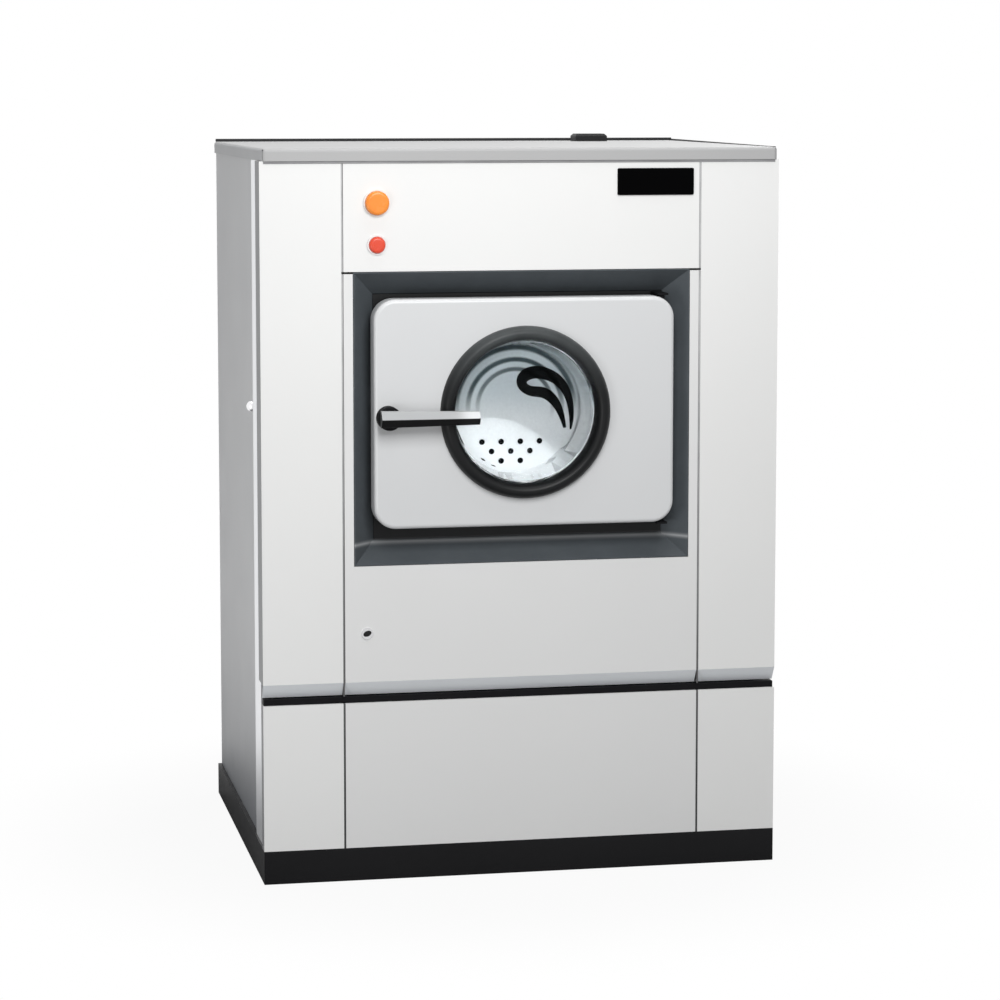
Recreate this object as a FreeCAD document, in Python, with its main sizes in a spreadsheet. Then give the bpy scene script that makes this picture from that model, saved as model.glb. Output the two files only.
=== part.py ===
import FreeCAD, Part
import math
import os

import Sketcher
from FreeCAD import Placement, Rotation, Vector

# A front-loading industrial washing machine, in millimetres.
# +Z is up, the front faces -Y, and the origin lies on the floor between the four anchor holes.

SIZES = (
    # cabinet
    ("body_width", 1020),
    ("body_depth", 820),
    ("body_height", 1420),
    ("panel_sheet", 2),
    ("post_size", 40),
    ("post_wall", 3),
    ("post_setback", 28),
    ("rear_post_inset", 25),
    ("rear_post_setback", 5),
    ("top_rail_inset", 30),
    # plinth and chassis
    ("plinth_height", 65),
    ("plinth_wall", 4),
    ("plinth_flange", 70),
    ("anchor_hole_radius", 9),
    ("anchor_side_inset", 36),
    ("anchor_end_inset", 150),
    ("rail_height", 60),
    ("rail_width", 60),
    ("rail_wall", 4),
    ("rail_offset", 200),
    ("rail_end_inset", 30),
    ("stand_thickness", 12),
    ("stand_half_width", 280),
    ("stand_horn_drop", 220),
    ("stand_hole_clearance", 3),
    ("front_stand_setback", 180),
    ("rear_stand_inset", 150),
    # top cover and its vent
    ("lid_height", 24),
    ("lid_overhang", 4),
    ("lid_corner_radius", 8),
    ("lid_edge_radius", 6),
    ("vent_offset", 300),
    ("vent_rear_inset", 75),
    ("vent_cap_width", 70),
    ("vent_cap_depth", 50),
    ("vent_cap_height", 16),
    ("vent_cap_wall", 2.5),
    ("vent_cap_chamfer", 5),
    ("vent_pipe_radius", 22),
    ("vent_pipe_wall", 2),
    ("vent_port_rise", 120),
    ("vent_end_reach", 2),
    ("vent_bend_radius", 50),
    # front columns, fascia and kick panels
    ("column_side_return", 65),
    ("seam_gap", 4),
    ("bevel_height", 27),
    ("bevel_depth", 18),
    ("recess_height", 14),
    ("strip_setback", 6),
    ("strip_gap", 2),
    ("fascia_height", 211),
    ("display_side_gap", 12),
    ("display_top_gap", 16),
    ("display_width", 152),
    ("display_height", 52),
    ("display_thickness", 3),
    ("display_corner_radius", 3),
    # push buttons
    ("button_inset", 65),
    ("start_button_drop", 80),
    ("start_button_radius", 23),
    ("start_button_proud", 14),
    ("stop_button_drop", 160),
    ("stop_button_radius", 16),
    ("stop_button_proud", 10),
    ("button_dome_radius", 6),
    ("button_cap_depth", 12),
    ("button_stem_radius", 7),
    ("button_stem_length", 18),
    ("bezel_width", 3),
    ("bezel_height", 3),
    # door surround
    ("surround_top_gap", 1),
    ("surround_head", 51),
    ("surround_foot", 73),
    ("surround_depth", 48),
    ("surround_slope", 43),
    ("surround_wall", 3),
    ("surround_lip", 2),
    ("surround_hole_radius", 206),
    ("surround_tab_height", 440),
    ("surround_tab_reach", 18),
    # door
    ("door_width", 590),
    ("door_height", 442),
    ("door_side_gap", 36),
    ("door_proud", 25),
    ("door_depth", 45),
    ("door_wall", 3),
    ("door_corner_radius", 42),
    ("door_edge_radius", 8),
    ("back_plate_hole_radius", 145),
    ("hinge_inset", 20),
    ("hinge_setback", 20),
    ("hinge_pin_radius", 5),
    ("hinge_pin_reach", 55),
    ("hinge_arm_thickness", 4),
    ("hinge_arm_width", 20),
    ("hinge_gap", 1),
    ("hinge_foot_height", 58),
    ("hinge_foot_thickness", 8),
    ("hinge_block_drop", 25),
    ("hinge_block_height", 36),
    # porthole
    ("porthole_radius", 150),
    ("ring_outer_radius", 168),
    ("ring_inner_radius", 138),
    ("ring_height", 20),
    ("ring_spigot", 10),
    ("ring_outer_round", 12),
    ("ring_inner_round", 7),
    ("glass_rim_radius", 149),
    ("glass_rim_thickness", 8),
    ("glass_wall", 7),
    ("bowl_mouth_radius", 141),
    ("bowl_end_radius", 132),
    ("bowl_depth", 87),
    ("bowl_round", 14),
    ("clamp_outer_radius", 170),
    ("clamp_lip", 8),
    # handle and latch
    ("handle_inset", 26),
    ("handle_drop", 5),
    ("handle_boss_radius", 23),
    ("handle_stand_off", 27),
    ("handle_length", 171),
    ("handle_heel", 19),
    ("handle_root_half", 16),
    ("handle_tip_half", 12.5),
    ("handle_edge_depth", 14),
    ("handle_ridge_depth", 25),
    ("handle_round", 3),
    ("spindle_radius", 8),
    ("cam_length", 40),
    ("cam_width", 14),
    ("cam_thickness", 6),
    ("cam_gap", 4),
    ("keeper_width", 30),
    ("keeper_height", 28),
    ("keeper_rise", 21),
    ("keeper_roof", 5),
    ("keeper_front_gap", 0.5),
    ("keeper_slot_play", 0.7),
    ("keeper_side_play", 1),
    # service panel
    ("apron_height", 254),
    ("service_strip", 18),
    ("service_gap", 1),
    ("service_side_return", 15),
    ("service_hinge_inset", 12),
    ("service_hinge_setback", 7),
    ("service_pin_radius", 2.5),
    ("service_knuckle_radius", 4.7),
    ("service_knuckle_height", 25),
    ("service_leaf_width", 38),
    ("service_leaf_thickness", 3),
    ("service_bracket_thickness", 3.5),
    ("lower_hinge_rise", 56),
    ("upper_hinge_rise", 186),
    ("lock_inset", 43),
    ("lock_rise", 122),
    ("lock_barrel_radius", 9.5),
    ("lock_flange_radius", 11.5),
    ("lock_flange_height", 2),
    ("lock_slot_width", 2),
    ("lock_slot_length", 12),
    ("lock_slot_depth", 1.5),
    ("lock_cam_setback", 19),
    ("lock_cam_length", 31),
    ("lock_cam_width", 12),
    ("lock_cam_thickness", 3),
    ("lock_keeper_height", 20),
    ("lock_keeper_leg", 6),
    ("lock_keeper_lip", 12),
    ("lock_keeper_sheet", 2.5),
    ("lock_keeper_gap", 2),
    ("lock_keeper_play", 0.5),
    # sides and rear
    ("side_inset", 8),
    ("trim_inset", 4),
    ("trim_width", 96),
    ("side_return", 15),
    ("screw_head_radius", 5),
    ("screw_head_height", 3),
    ("screw_inset", 40),
    # tub and gasket
    ("tub_side_gap", 28),
    ("tub_wall", 3),
    ("tub_setback", 100),
    ("front_head_thickness", 4),
    ("rear_head_thickness", 10),
    ("rear_head_bore", 46),
    ("neck_radius", 191),
    ("gasket_outer_radius", 200),
    ("gasket_lip_radius", 170),
    ("gasket_seat_radius", 178),
    ("gasket_sleeve", 17),
    ("gasket_tip_bevel", 6),
    # drum
    ("drum_radius", 325),
    ("drum_wall", 3),
    ("drum_front_gap", 17),
    ("drum_rear_gap", 40),
    ("drum_mouth_radius", 172),
    ("drum_lip_width", 8),
    ("drum_lip_depth", 8),
    ("drum_lip_round", 3),
    ("drum_back_thickness", 6),
    ("perforation_radius", 4),
    ("perforation_pitch", 62),
    ("lifter_height", 70),
    ("lifter_base_half", 55),
    ("lifter_top_half", 17),
    ("lifter_end_gap", 20),
    ("lifter_angle", 10),
    # shaft and bearings
    ("shaft_radius", 30),
    ("shaft_flange_radius", 100),
    ("shaft_flange_thickness", 16),
    ("shaft_end_setback", 26),
    ("bearing_radius", 55),
    ("bearing_width", 22),
    ("housing_length", 120),
    ("housing_flange_radius", 150),
    ("housing_flange_thickness", 18),
    ("housing_radius", 75),
    ("housing_front_wall", 20),
    ("housing_rear_lip", 6),
    ("housing_rear_bore", 40),
    ("housing_pulley_gap", 15),
    ("seal_radius", 45),
    ("seal_width", 16),
    # belt drive
    ("pulley_rear_setback", 41),
    ("pulley_width", 34),
    ("pulley_flange_width", 4),
    ("pulley_flange_height", 8),
    ("drum_pulley_radius", 220),
    ("pulley_rim_depth", 20),
    ("pulley_hub_radius", 55),
    ("pulley_web_inset", 11),
    ("pulley_hole_radius", 45),
    ("pulley_hole_circle", 128),
    ("motor_pulley_radius", 45),
    ("motor_pulley_gap", 15),
    ("belt_thickness", 6),
    ("belt_side_play", 1),
    ("motor_radius", 100),
    ("motor_length", 240),
    ("motor_shaft_height", 112),
    ("motor_shaft_radius", 14),
    ("motor_shaft_depth", 40),
    ("motor_plate_thickness", 10),
    ("motor_plate_half_width", 110),
    ("motor_plate_overhang", 10),
    ("motor_foot_half_width", 90),
    ("motor_foot_height", 24),
    ("motor_foot_inset", 30),
    ("terminal_box_half", 50),
    ("terminal_box_height", 45),
    # heater, water and drain
    ("heater_radius", 5),
    ("heater_gap", 13),
    ("heater_half_spread", 58),
    ("heater_front_gap", 80),
    ("heater_terminal", 25),
    ("heater_step_angle", 24),
    ("drain_setback", 310),
    ("drain_radius", 40),
    ("drain_wall", 3),
    ("drain_end_reach", 3),
    ("drain_valve_rise", 20),
    ("drain_valve_height", 80),
    ("drain_valve_radius", 55),
    ("drain_actuator_length", 75),
    ("drain_actuator_half", 35),
    ("drain_actuator_inset", 20),
    ("outlet_radius", 38),
    ("outlet_height", 200),
    ("outlet_bend_radius", 80),
    ("outlet_reach", 50),
    ("spigot_radius", 40),
    ("cold_water_offset", 230),
    ("hot_water_offset", 130),
    ("water_inlet_drop", 106),
    ("water_stub_radius", 13.2),
    ("water_neck_radius", 12.5),
    ("water_stub_bore", 9),
    ("water_stub_reach", 22),
    ("water_valve_half", 25),
    ("water_valve_height", 70),
    ("water_valve_length", 63),
    ("water_pipe_radius", 12),
    ("water_pipe_wall", 2),
    ("water_drop_inset", 90),
    ("water_bend_radius", 30),
    ("pipe_end_reach", 8),
    # electrics
    ("control_box_button_gap", 85),
    ("control_box_side_gap", 25),
    ("control_box_rise", 20),
    ("control_box_drop", 26),
    ("control_box_depth", 68),
    ("gland_offset", 330),
    ("gland_drop", 96),
    ("gland_bore", 8),
    ("gland_thread_radius", 12),
    ("gland_nut_radius", 17),
    ("gland_nut_length", 12),
    ("gland_reach", 15),
    # fits
    ("running_clearance", 0.05),
    ("loose_clearance", 0.3),
)


class Size:
    """A length with its number and the sheet formula that gives it."""

    def __init__(self, number, text):
        self.number = number
        self.text = text

    def __neg__(self):
        return Size(-self.number, f"(-{self.text})")

    def __add__(self, other):
        other = as_size(other)
        return Size(self.number + other.number, f"({self.text} + {other.text})")

    def __sub__(self, other):
        other = as_size(other)
        return Size(self.number - other.number, f"({self.text} - {other.text})")

    def __mul__(self, other):
        other = as_size(other)
        return Size(self.number * other.number, f"({self.text} * {other.text})")

    def __truediv__(self, other):
        other = as_size(other)
        return Size(self.number / other.number, f"({self.text} / {other.text})")


def as_size(value):
    if isinstance(value, Size):
        return value
    return Size(value, f"({value})")


def chord_height(radius, offset):
    """Height of a circle's rim over its centre, at this offset from the middle."""
    square = radius * radius - offset * offset
    return Size(math.sqrt(square.number), f"sqrt({square.text})")


doc = FreeCAD.newDocument("washing_machine")
sheet = doc.addObject("Spreadsheet::Sheet", "Sizes")
for row, (alias, number) in enumerate(SIZES, 1):
    sheet.set(f"A{row}", alias)
    sheet.set(f"B{row}", str(number))
    sheet.setAlias(f"B{row}", alias)
doc.recompute()


class Sheet:
    """The cells of the sheet by name."""


S = Sheet()
for alias, number in SIZES:
    setattr(S, alias, Size(number, f"Sizes.{alias}"))

zero = as_size(0)
kept = []


def keep(piece):
    """Marks a finished piece for writing under its own label."""
    kept.append(piece)
    return piece


def bind(piece, name, size):
    piece.setExpression(name, size.text)


# Helpers for bodies drawn from sketches.

SKETCH_PLANES = {"X": ("YZ_Plane", 1), "Y": ("XZ_Plane", -1), "Z": ("XY_Plane", 1)}


def new_body(name, x=None, z=None):
    """An empty body, moved to an axis at x and z where these are given."""
    body = doc.addObject("PartDesign::Body", name)
    if x is not None:
        bind(body, "Placement.Base.x", x)
    if z is not None:
        bind(body, "Placement.Base.z", z)
    return body


def sketch_on(body, role, offset):
    sketch = body.newObject("Sketcher::SketchObject", "Sketch")
    plane = [feature for feature in body.Origin.OriginFeatures if feature.Role == role][0]
    sketch.AttachmentSupport = [(plane, "")]
    sketch.MapMode = "FlatFace"
    bind(sketch, "AttachmentOffset.Base.z", offset)
    return sketch


def place_point(sketch, geometry, vertex, u, v):
    """Holds one point of a sketch at u and v from the sketch's origin."""
    for kind, size in (("DistanceX", u), ("DistanceY", v)):
        index = sketch.addConstraint(Sketcher.Constraint(kind, -1, 1, geometry, vertex, size.number))
        bind(sketch, f"Constraints[{index}]", size)


def polygon(points):
    def draw(sketch):
        corners = [Vector(u.number, v.number, 0) for u, v in points]
        first = sketch.GeometryCount
        count = len(corners)
        for index in range(count):
            sketch.addGeometry(Part.LineSegment(corners[index], corners[(index + 1) % count]))
        for index in range(count):
            following = first + (index + 1) % count
            sketch.addConstraint(Sketcher.Constraint("Coincident", first + index, 2, following, 1))
        for index, (u, v) in enumerate(points):
            place_point(sketch, first + index, 1, u, v)
    return draw


def rectangle(left, right, bottom, top):
    return polygon([(left, bottom), (right, bottom), (right, top), (left, top)])


def arc_between(centre, start, end):
    """The anticlockwise arc about a centre from one point to another."""
    first = math.atan2(start.y - centre.y, start.x - centre.x)
    last = math.atan2(end.y - centre.y, end.x - centre.x)
    if last < first:
        last += 2 * math.pi
    circle = Part.Circle(centre, Vector(0, 0, 1), centre.distanceToPoint(start))
    return Part.ArcOfCircle(circle, first, last)


def hold_arc(sketch, arc, start, end, radius):
    """Joins an arc to the points before and after it and holds its radius."""
    sketch.addConstraint(Sketcher.Constraint("Coincident", arc, 1, *start))
    sketch.addConstraint(Sketcher.Constraint("Coincident", arc, 2, *end))
    held = sketch.addConstraint(Sketcher.Constraint("Radius", arc, radius.number))
    bind(sketch, f"Constraints[{held}]", radius)


def rounded_rectangle(left, right, bottom, top, radius):
    """A rectangle with quarter-circle corners, drawn anticlockwise."""
    straights = (
        ((left + radius, bottom), (right - radius, bottom)),
        ((right, bottom + radius), (right, top - radius)),
        ((right - radius, top), (left + radius, top)),
        ((left, top - radius), (left, bottom + radius)),
    )
    centres = (
        (right - radius, bottom + radius),
        (right - radius, top - radius),
        (left + radius, top - radius),
        (left + radius, bottom + radius),
    )

    def draw(sketch):
        spots = [[Vector(u.number, v.number, 0) for u, v in ends] for ends in straights]
        for start, end in spots:
            sketch.addGeometry(Part.LineSegment(start, end))
        for index, (u, v) in enumerate(centres):
            centre = Vector(u.number, v.number, 0)
            following = (index + 1) % 4
            sketch.addGeometry(arc_between(centre, spots[index][1], spots[following][0]))
        for index, (start, end) in enumerate(straights):
            place_point(sketch, index, 1, *start)
            place_point(sketch, index, 2, *end)
        for index in range(4):
            hold_arc(sketch, 4 + index, (index, 2), ((index + 1) % 4, 1), radius)
    return draw


def discs(centres, radius):
    def draw(sketch):
        for u, v in centres:
            circle = Part.Circle(Vector(u.number, v.number, 0), Vector(0, 0, 1), radius.number)
            index = sketch.addGeometry(circle)
            place_point(sketch, index, 3, u, v)
            held = sketch.addConstraint(Sketcher.Constraint("Radius", index, radius.number))
            bind(sketch, f"Constraints[{held}]", radius)
    return draw


def disc(u, v, radius):
    return discs([(u, v)], radius)


def pad(body, axis, low, high, draw):
    """Adds a drawn outline between two levels of an axis."""
    role, way = SKETCH_PLANES[axis]
    sketch = sketch_on(body, role, low if way > 0 else -high)
    draw(sketch)
    feature = body.newObject("PartDesign::Pad", "Pad")
    feature.Profile = sketch
    bind(feature, "Length", high - low)
    return feature


def pocket(body, axis, low, high, draw):
    """Cuts a drawn outline between two levels of an axis."""
    role, way = SKETCH_PLANES[axis]
    sketch = sketch_on(body, role, high if way > 0 else -low)
    draw(sketch)
    feature = body.newObject("PartDesign::Pocket", "Pocket")
    feature.Profile = sketch
    bind(feature, "Length", high - low)
    return feature


def revolve(body, points):
    """Turns an outline of (y, radius) points about the body's own Y axis."""
    sketch = sketch_on(body, "YZ_Plane", zero)
    polygon(points)(sketch)
    feature = body.newObject("PartDesign::Revolution", "Revolution")
    feature.Profile = sketch
    feature.ReferenceAxis = (sketch, ["H_Axis"])
    feature.Angle = 360
    return feature


def repeat_around(body, feature, count, angle=None):
    """Repeats a feature about the body's own Y axis."""
    axis = [part for part in body.Origin.OriginFeatures if part.Role == "Y_Axis"][0]
    pattern = body.newObject("PartDesign::PolarPattern", "PolarPattern")
    pattern.Originals = [feature]
    pattern.Axis = (axis, [""])
    pattern.Occurrences = count
    if angle is None:
        pattern.Angle = 360
    else:
        bind(pattern, "Angle", angle)
    body.Tip = pattern
    return pattern


def turn_body(body, angle):
    """Turns a body about its own Y axis."""
    body.Placement = Placement(body.Placement.Base, Rotation(Vector(0, 1, 0), angle.number))
    bind(body, "Placement.Rotation.Angle", angle)


def fillet(body, radius, choose, kind="PartDesign::Fillet", dimension="Radius"):
    """Rounds the edges of the body that the chooser picks."""
    doc.recompute()
    base = body.Tip
    edges = [f"Edge{index}" for index, edge in enumerate(base.Shape.Edges, 1) if choose(edge)]
    feature = body.newObject(kind, "EdgeTreatment")
    feature.Base = (base, edges)
    bind(feature, dimension, radius)
    return feature


def chamfer(body, size, choose):
    return fillet(body, size, choose, "PartDesign::Chamfer", "Size")


def edge_span(edge, axis):
    box = edge.BoundBox
    low, high = {"X": (box.XMin, box.XMax), "Y": (box.YMin, box.YMax), "Z": (box.ZMin, box.ZMax)}[axis]
    return low, high


def lies_at(axis, level):
    """Chooses the edges that lie at one level of an axis."""
    def choose(edge):
        low, high = edge_span(edge, axis)
        return abs(low - level.number) < 0.01 and abs(high - level.number) < 0.01
    return choose


def runs_along(axis):
    """Chooses the straight edges that run along an axis."""
    def choose(edge):
        low, high = edge_span(edge, axis)
        return high - low > edge.Length - 0.01
    return choose


def circle_at(level, radius):
    """Chooses the full circles about the Y axis at one level and radius."""
    def choose(edge):
        low, high = edge_span(edge, "X")
        return lies_at("Y", level)(edge) and abs(high - low - 2 * radius.number) < 0.01
    return choose


def tray(name, x, y, z, wall):
    """A folded sheet: a front face with four returns that reach back."""
    body = new_body(name)
    pad(body, "Y", y[0], y[1], rectangle(x[0], x[1], z[0], z[1]))
    inside = rectangle(x[0] + wall, x[1] - wall, z[0] + wall, z[1] - wall)
    pocket(body, "Y", y[0] + wall, y[1], inside)
    return body


def side_tray(name, x, y, z, wall):
    """A folded sheet that faces -X, with four returns that reach inwards."""
    body = new_body(name)
    pad(body, "X", x[0], x[1], rectangle(y[0], y[1], z[0], z[1]))
    inside = rectangle(y[0] + wall, y[1] - wall, z[0] + wall, z[1] - wall)
    pocket(body, "X", x[0] + wall, x[1], inside)
    return body


def bent_pipe(name, x, start, corner, end, radius, wall, bend):
    """A tube at one x that leaves start along Y, turns at the corner and ends along Z."""
    body = new_body(name)
    along = 1 if corner[0].number > start[0].number else -1
    rise = 1 if end[1].number > corner[1].number else -1
    before = (corner[0] - bend * along, corner[1])
    after = (corner[0], corner[1] + bend * rise)
    middle = (before[0], after[1])
    sweeps = (("PartDesign::AdditivePipe", radius), ("PartDesign::SubtractivePipe", radius - wall))
    for kind, size in sweeps:
        profile = sketch_on(body, "XZ_Plane", -start[0])
        disc(x, start[1], size)(profile)
        spine = sketch_on(body, "YZ_Plane", x)
        stops = [Vector(u.number, v.number, 0) for u, v in (start, before, after, end, middle)]
        spine.addGeometry(Part.LineSegment(stops[0], stops[1]))
        spine.addGeometry(Part.LineSegment(stops[2], stops[3]))
        if along == rise:
            spine.addGeometry(arc_between(stops[4], stops[1], stops[2]))
            joins = ((0, 2), (1, 1))
        else:
            spine.addGeometry(arc_between(stops[4], stops[2], stops[1]))
            joins = ((1, 1), (0, 2))
        place_point(spine, 0, 1, *start)
        place_point(spine, 0, 2, *before)
        place_point(spine, 1, 1, *after)
        place_point(spine, 1, 2, *end)
        hold_arc(spine, 2, joins[0], joins[1], bend)
        pipe = body.newObject(kind, "Pipe")
        pipe.Profile = profile
        pipe.Spine = spine
        doc.recompute()
    return body


# Helpers for plain solids.

TURNS = {
    "X": Rotation(Vector(0, 1, 0), 90),
    "Y": Rotation(Vector(1, 0, 0), -90),
    "Z": Rotation(),
}


def block(name, x, y, z):
    box = doc.addObject("Part::Box", name)
    for length, axis, (low, high) in (("Length", "x", x), ("Width", "y", y), ("Height", "z", z)):
        bind(box, length, as_size(high) - low)
        bind(box, f"Placement.Base.{axis}", as_size(low))
    return box


def rod(name, axis, x, y, z, radius):
    """A cylinder along an axis: a (low, high) pair for that axis and single places for the others."""
    cylinder = doc.addObject("Part::Cylinder", name)
    span = {"X": x, "Y": y, "Z": z}[axis]
    start = {"x": x, "y": y, "z": z}
    start[axis.lower()] = span[0]
    cylinder.Placement = Placement(Vector(), TURNS[axis])
    bind(cylinder, "Radius", radius)
    bind(cylinder, "Height", span[1] - span[0])
    for letter, place in start.items():
        bind(cylinder, f"Placement.Base.{letter}", place)
    return cylinder


def fused(name, *pieces):
    union = doc.addObject("Part::MultiFuse", name)
    union.Shapes = list(pieces)
    union.Refine = True
    return union


def cut(name, base, *tools):
    """The base less every tool; the last cut carries the name."""
    for index, tool in enumerate(tools, 1):
        last = index == len(tools)
        difference = doc.addObject("Part::Cut", name if last else f"{name}_step")
        difference.Base = base
        difference.Tool = tool
        difference.Refine = True
        base = difference
    return base


def group(name, *pieces):
    """Separate solids that share one node."""
    together = doc.addObject("Part::Compound", name)
    together.Links = list(pieces)
    return together


def mirrored(name, source):
    """The opposite-hand copy across the middle plane."""
    twin = doc.addObject("Part::Mirroring", name)
    twin.Source = source
    twin.Base = Vector(0, 0, 0)
    twin.Normal = Vector(1, 0, 0)
    return twin


def box_tube(name, axis, x, y, z, wall):
    """A hollow bar that is open at both ends of its axis."""
    spans = {"X": x, "Y": y, "Z": z}
    hollow = {}
    for letter, (low, high) in spans.items():
        hollow[letter] = (low, high) if letter == axis else (low + wall, high - wall)
    outside = block(f"{name}_outside", x, y, z)
    inside = block(f"{name}_inside", hollow["X"], hollow["Y"], hollow["Z"])
    return cut(name, outside, inside)


# Levels that several pieces share.

side = S.body_width / 2
front = -S.body_depth / 2
back = S.body_depth / 2
lid_bottom = S.body_height - S.lid_height
frame_top = S.body_height - S.panel_sheet
post_front = front + S.post_setback
post_rear = post_front + S.post_size
post_top = frame_top - S.post_size
rail_top = S.plinth_height + S.rail_height

# Down the front: fascia, surround, service panel and kick panels hang below the top cover.

fascia_bottom = lid_bottom - S.fascia_height
surround_top = fascia_bottom - S.surround_top_gap
door_top = surround_top - S.surround_head
axis_height = door_top - S.door_height / 2
door_bottom = door_top - S.door_height
surround_bottom = door_bottom - S.surround_foot
bevel_bottom = surround_bottom - S.apron_height
bevel_top = bevel_bottom + S.bevel_height
kick_top = bevel_bottom - S.recess_height

# Across the front: the surround frames the door, and strips of the service panel frame the surround.

door_half = S.door_width / 2
surround_half = door_half + S.door_side_gap
strip_inner = surround_half + S.service_gap
centre_half = strip_inner + S.service_strip
column_edge = centre_half + S.seam_gap
button_offset = centre_half - S.button_inset
handle_offset = door_half - S.handle_inset
lock_offset = centre_half - S.lock_inset
lock_height = bevel_bottom + S.lock_rise

# From front to rear: the tub fills the room between its setback and the belt drive.

surround_floor = front + S.surround_depth
door_front = front - S.door_proud
door_back = door_front + S.door_depth
pulley_rear = back - S.pulley_rear_setback
pulley_front = pulley_rear - S.pulley_width
housing_rear = pulley_front - S.housing_pulley_gap
housing_front = housing_rear - S.housing_length
tub_front = front + S.tub_setback
tub_rear = housing_front - S.rear_head_thickness
tub_radius = S.drum_radius + S.tub_side_gap
tub_inner = tub_radius - S.tub_wall
drum_front = tub_front + S.drum_front_gap
drum_rear = tub_rear - S.drum_rear_gap
drum_inner = S.drum_radius - S.drum_wall
motor_height = rail_top + S.motor_plate_thickness + S.motor_shaft_height
drain_middle = front + S.drain_setback
vent_middle = back - S.vent_rear_inset

# Base plinth: a hollow frame with flanges, bolted to the floor at four holes.

plinth = block("plinth_block", (-side, side), (front, back), (zero, S.plinth_height))
plinth_hollow = block(
    "plinth_hollow",
    (S.plinth_wall - side, side - S.plinth_wall),
    (front + S.plinth_wall, back - S.plinth_wall),
    (S.plinth_wall, S.plinth_height - S.plinth_wall),
)
plinth_opening = block(
    "plinth_opening",
    (S.plinth_flange - side, side - S.plinth_flange),
    (front + S.plinth_flange, back - S.plinth_flange),
    (zero, S.plinth_height),
)
anchor_holes = []
for x in (S.anchor_side_inset - side, side - S.anchor_side_inset):
    for y in (front + S.anchor_end_inset, back - S.anchor_end_inset):
        anchor_holes.append(rod("anchor_hole", "Z", x, y, (zero, S.plinth_height), S.anchor_hole_radius))
keep(cut("base_plinth", plinth, plinth_hollow, plinth_opening, *anchor_holes))

# Chassis: two rails that span the plinth and two plates that carry the tub.

rail_y = (front + S.rail_end_inset, back - S.rail_end_inset)
rail_z = (S.plinth_height, rail_top)
rails = []
for x in (-S.rail_offset, S.rail_offset):
    rail_x = (x - S.rail_width / 2, x + S.rail_width / 2)
    rails.append(box_tube("chassis_rail", "Y", rail_x, rail_y, rail_z, S.rail_wall))

stands = []
for stand_front in (front + S.front_stand_setback, tub_rear - S.rear_stand_inset):
    stand_y = (stand_front, stand_front + S.stand_thickness)
    plate = block(
        "stand_plate",
        (-S.stand_half_width, S.stand_half_width),
        stand_y,
        (rail_top, axis_height - S.stand_horn_drop),
    )
    seat = rod("stand_seat", "Y", zero, stand_y, axis_height, tub_radius + S.loose_clearance)
    hole_radius = S.outlet_radius + S.stand_hole_clearance
    pass_hole = rod("stand_hole", "Y", zero, stand_y, S.outlet_height, hole_radius)
    stands.append(cut("tub_stand", plate, seat, pass_hole))
keep(group("chassis", *rails, *stands))

# Cabinet frame: four posts and two top rails. The left front post carries the keeper of the panel lock.

front_post_x = (column_edge - S.post_size / 2, column_edge + S.post_size / 2)
rear_post_x = (side - S.rear_post_inset - S.post_size, side - S.rear_post_inset)
front_post_y = (post_front, post_rear)
rear_post_y = (back - S.rear_post_setback - S.post_size, back - S.rear_post_setback)
post_z = (S.plinth_height, post_top)
front_post = box_tube("front_post", "Z", front_post_x, front_post_y, post_z, S.post_wall)
rear_post = box_tube("rear_post", "Z", rear_post_x, rear_post_y, post_z, S.post_wall)

lock_cam_front = front + S.lock_cam_setback
lock_keeper_back = lock_cam_front - S.lock_keeper_play
lock_keeper_front = lock_keeper_back - S.lock_keeper_sheet
lock_reach = lock_offset + S.lock_cam_length
lock_leg_edge = lock_reach + S.lock_keeper_gap
lock_keeper_z = (lock_height - S.lock_keeper_height / 2, lock_height + S.lock_keeper_height / 2)
lock_keeper_leg = block(
    "lock_keeper_leg",
    (-lock_leg_edge - S.lock_keeper_leg, -lock_leg_edge),
    (lock_keeper_front, post_front),
    lock_keeper_z,
)
lock_keeper_lip = block(
    "lock_keeper_lip",
    (-lock_leg_edge, S.lock_keeper_lip - lock_leg_edge),
    (lock_keeper_front, lock_keeper_back),
    lock_keeper_z,
)
left_post_x = (-front_post_x[1], -front_post_x[0])
left_post = fused(
    "left_front_post",
    box_tube("left_post_tube", "Z", left_post_x, front_post_y, post_z, S.post_wall),
    lock_keeper_leg,
    lock_keeper_lip,
)
top_rail_x = (S.top_rail_inset - side, side - S.top_rail_inset)
top_rail_z = (post_top, frame_top)
front_rail = box_tube("front_top_rail", "X", top_rail_x, front_post_y, top_rail_z, S.post_wall)
rear_rail = box_tube("rear_top_rail", "X", top_rail_x, rear_post_y, top_rail_z, S.post_wall)
keep(group(
    "cabinet_frame",
    front_post,
    left_post,
    rear_post,
    mirrored("left_rear_post", rear_post),
    front_rail,
    rear_rail,
))

# Folded front sheets. Columns and service panel share the section with a bevel at the lower end.


def bevel_section(top):
    """Side view of a front sheet from its bevelled lower end up to its top."""
    sheet_back = front + S.panel_sheet
    return polygon([
        (front, top),
        (front, bevel_top),
        (front + S.bevel_depth, bevel_bottom),
        (front + S.bevel_depth + S.panel_sheet, bevel_bottom),
        (sheet_back, bevel_top),
        (sheet_back, top),
    ])


column = new_body("left_front_column")
pad(column, "X", -side, -column_edge, bevel_section(lid_bottom))
side_return = rectangle(-side, S.panel_sheet - side, front, front + S.column_side_return)
pad(column, "Z", bevel_top, lid_bottom, side_return)
seam_return = rectangle(-column_edge - S.panel_sheet, -column_edge, front, post_front)
pad(column, "Z", bevel_top, lid_bottom, seam_return)
keep(column)
keep(mirrored("right_front_column", column))

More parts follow.
